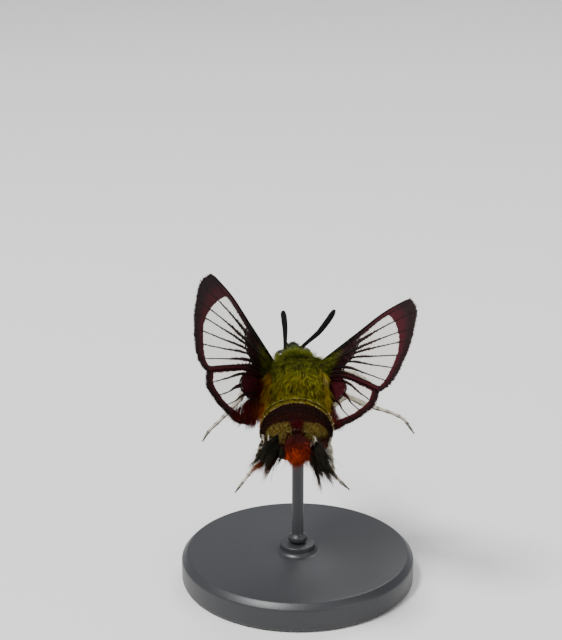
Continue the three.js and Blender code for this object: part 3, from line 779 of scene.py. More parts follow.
# Operators, one for each piece or group of like pieces
class MOTH_OT_stage(Operator):
    """Pale floor, soft studio light, and the camera behind the moth and a little above it"""

    bl_idname = "moth.stage"
    bl_label = "Stage"

    FLOOR_SIZE = 60.0
    CAMERA_ELEVATION = 18
    CAMERA_DISTANCE = 204  # from the middle of the thorax
    CAMERA_ASIDE = -2.295
    CAMERA_RAISED = 9.18
    LENS = 85
    SENSOR = 36
    LAMPS = {  # place, size and watts
        "key": ((-0.4, -0.35, 0.95), 0.3, 16),
        "fill": ((0.8, -0.6, 0.5), 0.7, 3),
        "rim": ((0.3, 0.7, 0.9), 0.5, 4),
    }

    def floor(self):
        """A wide floor in a pale colour that wanders a little."""
        bm = bmesh.new()
        bmesh.ops.create_grid(bm, x_segments=2, y_segments=2, size=self.FLOOR_SIZE / 2)
        plane = linked("floor", mesh_of("floor", bm))
        material, tree, shader = new_material("Pale floor")
        _, colour = wandering(tree, 4, (0.78, 0.77, 0.75), (0.82, 0.81, 0.79))
        wire(tree, shader, {"Base Color": colour, "Roughness": 0.7})
        plane.data.materials.append(material)

    def lamp(self, name, place, size, watts):
        """A round lamp aimed at the thorax."""
        light = bpy.data.lights.new(name, "AREA")
        light.energy = watts
        light.shape = "DISK"
        light.size = size
        lamp = linked(name, light)
        lamp.location = place
        aim = Vector((0, 0, FLIGHT_HEIGHT * MM)) - lamp.location
        lamp.rotation_euler = aim.to_track_quat("-Z", "Y").to_euler()

    def camera(self):
        """The photo's angle on the moth, with the stand in the picture."""
        tilt = math.radians(self.CAMERA_ELEVATION)
        back = Vector((0, -math.cos(tilt), math.sin(tilt)))
        up = Vector((0, math.sin(tilt), math.cos(tilt)))
        middle = Vector((0, THORAX_AHEAD, FLIGHT_HEIGHT))
        place = middle + up * self.CAMERA_RAISED + back * self.CAMERA_DISTANCE
        place.x += self.CAMERA_ASIDE
        data = bpy.data.cameras.new("camera")
        data.lens = self.LENS
        data.sensor_width = self.SENSOR
        data.clip_start = 0.01
        data.clip_end = 20
        camera = linked("camera", data)
        camera.location = place * MM
        camera.rotation_euler = (math.pi / 2 - tilt, 0, 0)
        bpy.context.scene.camera = camera

    def execute(self, context):
        self.camera()
        self.floor()
        for name, (place, size, watts) in self.LAMPS.items():
            self.lamp(name, place, size, watts)
        world = bpy.data.worlds.new("studio")
        world.use_nodes = True
        sky = world.node_tree.nodes["Background"]
        sky.inputs["Color"].default_value = (0.9, 0.93, 1, 1)
        sky.inputs["Strength"].default_value = 0.5
        context.scene.world = world
        return {"FINISHED"}


class MOTH_OT_skin(Operator):
    """One closed skin for the head, the thorax and the abdomen, with the coat's markings in painted
    shade
    """

    bl_idname = "moth.skin"
    bl_label = "Skin"

    VOXEL = 0.16
    SHADE = 0.3  # painted shade: the skin is this much of the coat's brightness, dark as the depths of the coat
    DEEPER = 1.8  # the abdomen's skin lies this many times as deep as its scales' roots

    def execute(self, context):
        sizes = lengths(context)
        c = colours(context)
        forms = (
            (head_form(sizes.fur_depth), 40, 40, head_tint),
            (thorax_form(sizes.fur_depth), 60, 60, thorax_tint),
            (abdomen_form(sizes.scale_depth * self.DEEPER), 140, 72, abdomen_tint),
        )
        bm = bmesh.new()
        for form, rings, sides, _ in forms:
            drawn_out(bm, form, rings, sides, even=True)
        body = linked("body_skin", mesh_of("body_rough", bm))
        remesh = body.modifiers.new("one skin", "REMESH")
        remesh.mode = "VOXEL"
        remesh.voxel_size = self.VOXEL * MM
        smooth = body.modifiers.new("soft joins", "SMOOTH")
        smooth.iterations = 3
        evaluated = body.evaluated_get(context.evaluated_depsgraph_get())
        mesh = bpy.data.meshes.new_from_object(evaluated)
        if not mesh.polygons:
            raise RuntimeError("the skin came out empty")
        bpy.data.objects.remove(body)
        points = np.empty(len(mesh.vertices) * 3, np.float32)
        mesh.vertices.foreach_get("co", points)
        points = points.reshape(-1, 3)
        best = np.full(len(points), np.inf)
        tint = np.zeros((len(points), 4), np.float32)
        for form, _, _, marks in forms:
            place, angle, off = nearest(form, points)
            nearer = off < best
            best = np.where(nearer, off, best)
            # painted shade: the coat's markings, darkened for the skin under the coat
            tint[nearer, :3] = marks(place, angle, c)[nearer] * self.SHADE
            tint[nearer, 3] = place[nearer]
        layer = mesh.attributes.new("tint", "FLOAT_COLOR", "POINT")
        layer.data.foreach_set("color", tint.ravel())
        shown("body_skin", mesh, toned("Skin"), "olive_fur", "head", "thorax", "abdomen")
        return {"FINISHED"}


def nearest(form, points, samples=160, least=0.3):
    """Place, angle and distance off the surface, for points near a form."""
    inward = np.array(form.frame.inverted())
    local = points / MM @ inward[:3, :3].T + inward[:3, 3]
    places = np.linspace(0, 1, samples)
    line = form.line.at(places)
    index = np.argmin(((local[:, None] - line[None]) ** 2).sum(-1), axis=1)
    place = places[index]
    way, across, up = form.line.section(place, form.lean)
    away = local - line[index]
    width, height = form.sizes(place, np.zeros(len(place)))
    sideways = (away * across).sum(-1) / np.maximum(width, least)
    upwards = (away * up).sum(-1) / np.maximum(height, least)
    past_end = np.abs((away * way).sum(-1)) / form.line.length
    return place, np.arctan2(upwards, sideways), np.hypot(sideways, upwards) + 10 * past_end


class MOTH_OT_fur(Operator):
    """Strands of fur on the thorax and the head, with longer locks along the flanks"""

    bl_idname = "moth.fur"
    bl_label = "Fur"

    # Angles in degrees, and the share of the strands that a region gets
    REGIONS = {
        "back_right": ((15, 90), 1),
        "back_left": ((90, 165), 1),
        "right": ((-35, 15), 0.55),
        "left": ((165, 215), 0.55),
        "belly": ((215, 325), 0.45),
    }
    STREAKS = 900
    PARTINGS = 110
    WAIST_STRANDS = 4500
    HEAD_STRANDS = 8600
    RUFF_STRANDS = 4600
    COLLAR_STRANDS = 2600
    LOCKS = 7  # on each flank
    LOCK_STRANDS = 70

    def execute(self, context):
        sizes = lengths(context)
        c = colours(context)
        form = thorax_form(sizes.fur_depth)
        for seed, (name, (angles, share)) in enumerate(self.REGIONS.items()):
            rng = np.random.default_rng(100 + seed)
            count = int(sizes.back_strands * share)
            batches = [self.region(form, rng, angles, count, sizes, c)]
            if name.startswith("back"):
                batches.append(self.streaks(form, rng, angles, c))
            coat(f"thorax_fur_{name}", batches, "olive_fur")
        self.head(sizes, c)
        self.flanks(form, sizes, c)
        self.waist(sizes, c)
        return {"FINISHED"}

    def region(self, form, rng, angles, count, sizes, c):
        """Fur of the thorax, which grows longer and less even towards the rear."""
        place, angle = scattered(form, count, rng, (0.0, 0.995), angles)
        on = form.surface(place, angle)
        parting = self.partings(form, on.root)
        spot = place + rng.normal(0, 0.03, count)
        tint = thorax_tint(spot, angle + rng.normal(0, 0.1, count), c)
        up = np.sin(angle)
        gold = rng.uniform(0, 0.35, count) * rise(up, -0.3, 0.2)
        tint = mixed(tint, c.olive_gold, gold * rise(place, 0.0, 0.6))
        tan = (rng.uniform(0, 1, count) < 0.2) * rise(place, 0.4, 0.8) * rise(up, 0, 0.4)
        # painted shade: fur in a parting is darkened
        tint = mixed(tint, c.tan, 0.6 * tan) * (1 - 0.92 * parting[:, None])
        longer = 0.7 + 0.55 * rise(place, 0.3, 0.8) + rise(place, 0.75, 1)
        return laid(
            on, rng, tint, sizes.fur_length * longer * (1 - 0.6 * parting), sizes.fur_width,
            lift=0.42, curl=-0.16, splay=0.35 * outward_turn(angle), shade=0.35, clump=12,
            pull=0.9, uneven=0.25 + 0.35 * rise(place, 0.3, 0.7),
            shade_gaps=0.03 + 0.09 * rise(place, 0.4, 0.7),
        )

    def streaks(self, form, rng, angles, c):
        """Broader strands, light and dark, that lie on top towards the rear."""
        place, angle = scattered(form, self.STREAKS, rng, (0.25, 0.98), angles)
        count = len(place)
        tint = mixed(c.olive, c.olive_gold, 0.85 * rise(place, 0.4, 0.75))
        bright = rng.choice([0.2, 0.7, 1.25], count) * (1 + 0.4 * rise(place, 0.6, 0.9))
        tint = tint * bright[:, None]
        return laid(
            form.surface(place, angle), rng, tint, 1.5, 0.13, lift=0.5, curl=-0.17,
            splay=0.35 * outward_turn(angle), messy=0.15, light=0.5,
        )

    def partings(self, form, roots):
        """How deep each root lies in a parting, where the fur of the back is short and painted dark
        as shade.
        """
        rng = np.random.default_rng(5)
        place = 1 - 0.6 * rng.uniform(0, 1, self.PARTINGS) ** 1.3
        angle = np.radians(rng.normal(90, 38, self.PARTINGS))
        centres = form.surface(place, angle).root
        off = np.linalg.norm(roots[:, None] - centres, axis=2).min(axis=1)
        return 1 - rise(off, 0.1, 0.3)

    def waist(self, sizes, c):
        """Shorter fur over the first rings of the abdomen, where the thorax runs out."""
        form = abdomen_form(sizes.scale_depth)
        rng = np.random.default_rng(90)
        place, angle = scattered(form, self.WAIST_STRANDS, rng, (0.04, 0.362), (-40, 220))
        tint = abdomen_tint(place, angle, c)
        tint = mixed(tint, c.olive, rng.uniform(0, 0.6, len(place)) * (1 - rise(place, 0.1, 0.3)))
        brown = 0.8 * (rng.uniform(0, 1, len(place)) < 0.4) * rise(place, 0.18, 0.24)
        tint = mixed(tint, c.red_brown, brown)
        length = 1.3 - 0.7 * rise(place, 0.12, 0.3)
        batch = laid(
            form.surface(place, angle), rng, tint, length, sizes.fur_width, lift=0.22,
            curl=-0.1, messy=0.12, shade=0.3, clump=9, pull=0.85, uneven=0.5, shade_gaps=0.1,
        )
        coat("waist_fur", [batch], "olive_fur")

    def head(self, sizes, c):
        """Short fur that leaves the eyes clear, a ruff behind them, and the collar."""
        form = head_form(sizes.fur_depth)
        rng = np.random.default_rng(7)
        place, angle = scattered(form, self.HEAD_STRANDS, rng, (0.02, 0.98))
        root = form.point(place, angle)
        clear = np.ones(len(place), bool)
        for sign in SIDES.values():
            off = np.linalg.norm(root - np.array(EYE_PLACE) * (sign, 1, 1), axis=1)
            clear &= off > EYE_RADIUS * 0.98
        place, angle = place[clear], angle[clear]
        on = form.surface(place, angle)
        tint = head_tint(place, angle, c)
        length = sizes.fur_length * (0.4 + 0.6 * rise(place, 0.25, 0.8))
        short = laid(
            on, rng, tint, length, sizes.fur_width * 0.8, lift=0.45, curl=-0.2, clump=10, pull=0.6,
            light=0.4,
        )
        place, angle = scattered(form, self.RUFF_STRANDS, rng, (0.48, 0.95), (-25, 205))
        on = form.surface(place, angle)
        tint = mixed(head_tint(place, angle, c), c.olive, 0.5)
        tint = mixed(tint, c.cream, 0.6 * rise(-np.sin(angle), 0.0, 0.3))
        length = sizes.fur_length * (0.75 + 0.2 * rise(np.abs(np.cos(angle)), 0.4, 0.8))
        # painted light: the ruff's tint is brightened and its roots keep no painted shade
        ruff = laid(
            on, rng, tint * 1.3, length, sizes.fur_width, lift=1.0, curl=-0.55, messy=0.06,
            clump=10, pull=0.6, light=0.7,
        )
        coat("head_fur", [short, ruff, self.collar(sizes, c)], "olive_fur")

    def collar(self, sizes, c):
        """Fur that stands up round the front of the thorax and fills the neck, brightened as painted
        light.
        """
        form = thorax_form(sizes.fur_depth)
        rng = np.random.default_rng(8)
        place, angle = scattered(form, self.COLLAR_STRANDS, rng, (0.0, 0.16), (5, 175))
        # painted light: the collar's tint is brightened and its roots keep no painted shade
        tint = mixed(c.olive_dark, c.olive, rng.uniform(0.3, 0.9, len(place))) * 1.6
        return laid(
            form.surface(place, angle), rng, tint, sizes.fur_length, sizes.fur_width, lift=0.9,
            curl=-0.5, messy=0.08, clump=10, pull=0.6, light=0.7,
        )

    def flanks(self, form, sizes, c):
        """Locks of long fur, some of them pale, that trail back from under the wings."""
        for side, sign in SIDES.items():
            rng = np.random.default_rng(40 + sign)
            first = 48 if sign > 0 else 38  # degrees up from the side
            batches = []
            for i in range(self.LOCKS):
                place = 0.46 + 0.06 * i + rng.normal(0, 0.02, self.LOCK_STRANDS)
                angle = np.radians(rng.normal(first - 5 * i, 2.0, self.LOCK_STRANDS))
                tone = mixed(c.tan, c.cream, 0.3) if i == 1 else mixed(c.tan, c.olive, 0.5)
                if side == "left":
                    tone = mixed(c.tan, c.orange, 0.25)
                    angle = np.pi - angle
                on = form.surface(place, angle)
                tint = mixed(tone, c.olive_gold, rng.uniform(0, 0.8, self.LOCK_STRANDS))
                batches.append(
                    laid(on, rng, tint, sizes.fur_length * 1.9, sizes.fur_width, lift=0.5,
                         curl=-0.18, splay=-0.2 * sign, messy=0.06, shade=0.5, clump=16, pull=0.9,
                         uneven=0.4)
                )
            coat(f"flank_locks_{side}", batches, "olive_fur")


class MOTH_OT_abdomen_scales(Operator):
    """Flat scales on the abdomen, and a pale fringe at the rear of its first rings"""

    bl_idname = "moth.abdomen_scales"
    bl_label = "Abdomen scales"

    REGIONS = {"upper": (14000, (-10, 190)), "lower": (4000, (190, 350))}  # scales and angles
    TEETH = 140
    FRINGES = ((0.25, 0.9), (0.39, 1.2), (0.968, 0.15))  # places, and how pale each is
    SPOTS = ((0.94, 10), (0.965, 2), (0.6, -14), (0.6, 185), (0.73, 180))  # places and angles
    SPOT_SCALES = 30

    def execute(self, context):
        sizes = lengths(context)
        c = colours(context)
        form = abdomen_form(sizes.scale_depth)
        for seed, (name, (count, angles)) in enumerate(self.REGIONS.items()):
            rng = np.random.default_rng(11 + seed)
            place, angle = scattered(form, count, rng, (0.1, 0.985), angles)
            on = form.surface(place, angle)
            tint = abdomen_tint(
                place + rng.normal(0, 0.006, count), angle + rng.normal(0, 0.05, count), c
            )
            plain = between(place, 0.37, PATCH_START - PATCH_LEAD, 0.01)
            brown = 0.75 * (rng.uniform(0, 1, count) < 0.35) * (1 - plain)
            tint = mixed(tint, c.red_brown, brown)
            hairy = rise(place, PATCH_START - 0.1, 0.95)
            batch = laid(
                on, rng, tint, sizes.scale_length * (1 + 0.9 * hairy), 0.11,
                lift=0.06 + 0.06 * hairy, curl=-0.02, messy=0.1, flat=0.2, profile=SCALE,
                shade=0.35, sink=0.02,
            )
            coat(f"abdomen_scales_{name}", [batch], "abdomen_bands", finish="Flat scales")
        self.fringes(form, c)
        return {"FINISHED"}

    def fringes(self, form, c):
        """Rows of pale teeth at the rear of the first rings, and small cream tufts."""
        rng = np.random.default_rng(12)
        count = self.TEETH
        batches = []
        for end, pale in self.FRINGES:
            angle = np.arange(count) * WHOLE_TURN / count + rng.normal(0, 0.006, count)
            place = end - 0.012 + rng.normal(0, 0.0025, count)
            tint = mixed(abdomen_tint(place - 0.03, angle, c), c.red_brown, 0.35)
            share = pale * rng.choice([0.0, 0.3, 0.9], count) * rise(np.sin(angle), -0.5, 0)
            tint = mixed(tint, c.cream, np.minimum(share, 1))
            batches.append(
                laid(form.surface(place, angle), rng, tint, 0.45, 0.16, lift=0.55, curl=-0.2,
                     messy=0.1, flat=0.4, profile=SCALE, shade=0.2, sink=0.0)
            )
        count = self.SPOT_SCALES
        tint = np.tile(mixed(c.cream, (1, 1, 1), 0.4), (count, 1))
        for place, angle in self.SPOTS:
            places = place + rng.normal(0, 0.011, count)
            on = form.surface(places, np.radians(angle + rng.normal(0, 3.5, count)))
            batches.append(
                laid(on, rng, tint, 0.6, 0.12, lift=0.7, curl=-0.15, messy=0.5, shade=0.3)
            )
        coat("abdomen_fringes", batches, "abdomen_bands")


class MOTH_OT_tail(Operator):
    """The rust brush and a black tuft to each side of it"""

    bl_idname = "moth.tail"
    bl_label = "Tail"

    ROOT_PLACE = 0.97  # of the brush, along the abdomen
    BRUSH_LENGTH = 4.9
    BRUSH_HALF = (1.5, 1.25)
    BRUSH_STRANDS = 8000
    CAP_STRANDS = 3400
    TUFTS = {  # the way it points, its length, and how reddish its outer tips are
        "right": ((0.4, -0.88, -0.46), 6.4, 0.1),
        "left": ((-0.62, -0.8, -0.34), 5.8, 1.0),
    }
    TUFT_PLACE = 0.84
    TUFT_STRANDS = 2900
    TUFT_LOCKS = 30

    def brush_surface(self, angle, out, back):
        """Roots on the brush's core, at shares out from its middle and back along it."""
        line = abdomen_line()
        way, across, up = line.section(self.ROOT_PLACE, UP)
        half_width, half_height = self.BRUSH_HALF
        away = across * (out * np.cos(angle))[:, None] * half_width
        away = away + up * (out * np.sin(angle))[:, None] * half_height
        normal = unit(across * np.cos(angle)[:, None] + up * np.sin(angle)[:, None])
        return SimpleNamespace(
            root=line.at(self.ROOT_PLACE) + away + way * back[:, None],
            normal=normal,
            rear=np.tile(way, (len(angle), 1)),
            round=unit(np.cross(way, normal)),
            unwrap=np.stack([angle / WHOLE_TURN, out], -1),
            frame=MOTH,
        )

    def brush(self, c):
        """Long strands, brightest above the middle, and a darker cap over their roots."""
        rng = np.random.default_rng(71)
        count = self.BRUSH_STRANDS
        angle = rng.uniform(0, WHOLE_TURN, count)
        out = np.sqrt(rng.uniform(0.05, 1, count))
        on = self.brush_surface(angle, out * 0.85, rng.uniform(-0.6, 0.9, count))
        up = np.sin(angle) * out
        tint = mixed(c.rust_dark, c.rust, rise(up, -0.7, 0.2) * (1 - 0.8 * rise(up, 0.3, 0.75)))
        length = self.BRUSH_LENGTH * (0.8 - 0.26 * out**2)
        batch = laid(
            on, rng, tint, length, 0.07, lift=0.14, curl=-0.19, splay=0.06, messy=0.04,
            shade=0.4, clump=24, pull=0.6, uneven=0.5, shade_gaps=0.1,
        )
        count = self.CAP_STRANDS
        angle = np.radians(rng.normal(90, 55, count))
        out = rng.uniform(0.7, 1.05, count)
        on = self.brush_surface(angle, out, rng.uniform(-0.7, 0.6, count))
        tint = mixed(c.red_brown, c.rust_dark, rng.uniform(0, 0.35, count))
        cap_length = 1.4 + 1.5 * rise(np.sin(angle), 0.1, 0.9)
        cap = laid(
            on, rng, tint, cap_length, 0.065, lift=0.2, curl=-0.25, messy=0.07, shade=0.35,
            clump=16, pull=0.6,
        )
        coat("tail_brush_fur", [batch, cap], "rust_fur", "tail_brush")

    def tuft(self, side, c):
        """A core, and round it strands in locks that fan out downwards and aside."""
        sign = SIDES[side]
        way, length, reddish = self.TUFTS[side]
        line = abdomen_line()
        _, across, up = line.section(self.ROOT_PLACE, UP)
        main = unit(np.array(way))
        out = unit(np.array((sign, 0, 0)) - main * sign * main[0])
        down = np.cross(main, out) * sign
        start = line.at(self.TUFT_PLACE) + across * sign * 1.5 + up * 0.3
        core = Form(
            Line([start + main * 0.3, start + main * 1.6, start + main * length * 0.5]),
            smooth_sizes([(0, 0.3, 0.8), (0.5, 0.4, 0.9), (1, 0.2, 0.5)], 0.25, 0.4, (1, 1)),
            lean=down,
        )
        drawn_piece(f"tail_tuft_core_{side}", core, 16, 16, c.black, "Skin", "black_fur")
        rng = np.random.default_rng(13 if sign > 0 else 29)

        def spots(fan, depth, base):
            aside = down * (0.75 * fan)[:, None] + out * (0.36 * depth)[:, None]
            return start + aside + main * base[:, None]

        locks = self.TUFT_LOCKS
        fans = rng.uniform(-1, 1, locks)
        depths = rng.normal(0, 0.9, locks)
        bases = rng.uniform(0.3, 2.2, locks)
        ways = unit(main + down * (0.45 * fans)[:, None] + out * (0.14 * depths)[:, None])
        reaches = length * (1 - 0.3 * fans**2) * rng.uniform(0.5, 0.8, locks)
        tips = spots(fans, depths, bases) + ways * reaches[:, None]
        count = self.TUFT_STRANDS
        lock = rng.integers(0, locks, count)
        root = spots(
            fans[lock] + rng.normal(0, 0.2, count),
            depths[lock] + rng.normal(0, 0.6, count),
            bases[lock] + rng.uniform(-0.8, 0.4, count),
        )
        loose = np.where(rng.uniform(0, 1, count) < 0.12, 0.6, 0.1)
        run = tips[lock] + rng.normal(0, 1, (count, 3)) * loose[:, None] - root
        lie = unit(run)
        normal = unit(along_surface(out, lie))
        unwrap = np.stack([0.5 + 0.4 * fans[lock], np.clip(0.5 + 0.15 * depths[lock], 0, 1)], -1)
        on = SimpleNamespace(
            root=root, normal=normal, rear=lie, round=np.cross(lie, normal),
            unwrap=unwrap + rng.uniform(-0.05, 0.05, (count, 2)), frame=MOTH,
        )
        low_out = (tips - tips.mean(axis=0)) @ unit(np.array((0.6 * sign, 0, -0.8)))
        red = reddish * rise(low_out / low_out.max(), 0.2, 0.65)
        tint = mixed(c.black, c.cream, rng.uniform(0, 0.06, count))
        tint = mixed(tint, mixed(c.rust_dark, c.orange, 0.2), red[lock])
        batch = laid(
            on, rng, tint, np.linalg.norm(run, axis=1) * 0.95, 0.1, lift=0.05, curl=-0.03,
            messy=0.03, shade=0.35,
        )
        coat(f"tail_tuft_fur_{side}", [batch], "black_fur", f"tail_tuft_{side}")

    def execute(self, context):
        c = colours(context)
        self.brush(c)
        for side in SIDES:
            self.tuft(side, c)
        return {"FINISHED"}


class MOTH_OT_eyes(Operator):
    """Round dark eyes with fine facets under a clear coat"""

    bl_idname = "moth.eyes"
    bl_label = "Eyes"

    FACETS = 11000

    def material(self):
        material, tree, shader = new_material("Eye")
        facets = add(tree, "TexVoronoi", {"Vector": object_place(tree), "Scale": self.FACETS})
        _, colour = wandering(tree, 900, srgb(0x070403), srgb(0x1C0D07))
        wire(tree, shader, {
            "Base Color": colour,
            "Normal": bump(tree, facets.outputs["Distance"], 0.5, 0.02 * MM),
            "Roughness": 0.25,
            "Specular IOR Level": 0.3,
            "Coat Weight": 0.4,
            "Coat Roughness": 0.06,
        })
        return material

    def execute(self, context):
        material = self.material()
        for side, sign in SIDES.items():
            bm = bmesh.new()
            bmesh.ops.create_icosphere(bm, subdivisions=5, radius=EYE_RADIUS)
            aside, ahead, up = EYE_PLACE
            place = Matrix.Translation((sign * aside, ahead, up))
            matrix = Matrix.Scale(MM, 4) @ HEAD @ place
            bmesh.ops.transform(bm, matrix=matrix, verts=bm.verts)
            shown(f"eye_{side}_globe", bm, material, "eye", f"eye_{side}")
        return {"FINISHED"}


class MOTH_OT_face(Operator):
    """Palps with their scales, and the long grooved tongue"""

    bl_idname = "moth.face"
    bl_label = "Palps and tongue"

    TONGUE_JOINTS = [
        (0, 2.6, -1.75, 0.36),
        (0, 4.4, -2.95, 0.32),
        (0, 9.4, -6.6, 0.27),
        (0, 14.2, -10.5, 0.23),
        (0, 17.6, -13.6, 0.16),
    ]
    TONGUE_RINGS = 150
    PALP_SCALES = 1500

    def palp(self, side, c):
        """A palp in pale scales with a dark tip."""
        sign = SIDES[side]
        joints = [
            (sign * 0.5, 2.6, -1.5, 0.4),
            (sign * 0.62, 3.6, -1.65, 0.52),
            (sign * 0.6, 4.35, -1.0, 0.5),
            (sign * 0.52, 4.55, -0.2, 0.3),
            (sign * 0.48, 4.55, 0.15, 0.14),
        ]
        form = limb_form(joints, 0.1, (1, 0, 0), HEAD)
        # painted shade: the palp's skin under its scales is darker cream
        drawn_piece(
            f"palp_{side}_skin", form, 30, 20, c.cream * 0.6, "Skin", "pale_scales", f"palp_{side}"
        )
        rng = np.random.default_rng(60 + sign)
        place, angle = scattered(form, self.PALP_SCALES, rng, (0.03, 0.98))
        on = form.surface(place, angle)
        spot = place + rng.normal(0, 0.05, len(place))
        tint = mixed(c.cream, c.olive_dark, rise(spot, 0.6, 0.9))
        batch = laid(on, rng, tint, 0.5, 0.065, lift=0.3, curl=-0.1, sink=0.02, clump=8, pull=0.5)
        coat(f"palp_{side}_scales", [batch], "pale_scales")

    def tongue(self):
        """The tongue with its groove to both sides and its fine rings."""
        form = limb_form(self.TONGUE_JOINTS, 0, (1, 0, 0), HEAD)
        plain = form.sizes

        def sizes(place, angle):
            width, height = plain(place, angle)
            groove = 1 - 0.3 * hump(np.sin(angle), 0, 0.28)
            ring = 1 + 0.04 * np.sin(place * WHOLE_TURN * self.TONGUE_RINGS / 3)
            return width * groove * ring, height * groove * ring

        form.sizes = sizes
        drawn_piece(
            "tongue", form, self.TONGUE_RINGS * 2, 20, srgb(0x2B1A12), "Horn", "tongue",
            "proboscis", even=True,
        )

    def execute(self, context):
        c = colours(context)
        for side in SIDES:
            self.palp(side, c)
        self.tongue()
        return {"FINISHED"}


class MOTH_OT_antennae(Operator):
    """Ringed antennae that thicken to a club with a fine bent tip"""

    bl_idname = "moth.antennae"
    bl_label = "Antennae"

    SHAPES = {
        "right": ((0.3, 7.1, 1.2), (5.3, 16.1, 0.7), (0.25, -0.1, -0.45)),
        "left": ((-1.75, 7.2, 1.2), (-2.0, 17.2, -0.3), (0.15, 0, 0.1)),
    }
    RADII = {-0.12: 0.25, 0.15: 0.27, 0.5: 0.37, 0.8: 0.42, 0.95: 0.37, 1: 0.26}
    RINGS = 46
    DOWN = 750

    def execute(self, context):
        c = colours(context)
        for side, (foot, tip, bow) in self.SHAPES.items():
            foot, tip, bow = map(np.array, (foot, tip, bow))
            run = tip - foot
            joints = [
                (*(foot + run * t + bow * math.sin(math.pi * max(t, 0))), radius)
                for t, radius in self.RADII.items()
            ]
            hook = tip + run * 0.02 + np.array((SIDES[side] * 0.18, 0, 0.05))
            joints.append((*hook, 0.1))
            form = limb_form(
                joints, rings=lambda place: 1 - 0.1 * ((place * self.RINGS) % 1) ** 3
            )
            drawn_piece(
                f"antenna_{side}_shaft", form, self.RINGS * 6, 18, c.black, "Antenna", "horn",
                f"antenna_{side}", even=True,
            )
            rng = np.random.default_rng(80 + SIDES[side])
            place, angle = scattered(form, self.DOWN, rng, (0.05, 0.97))
            on = form.surface(place, angle)
            tint = np.tile(c.black, (len(place), 1))
            batch = laid(on, rng, tint, 0.13, 0.03, lift=0.4, curl=-0.1, sink=0.01)
            coat(f"antenna_{side}_down", [batch], "horn")
        return {"FINISHED"}


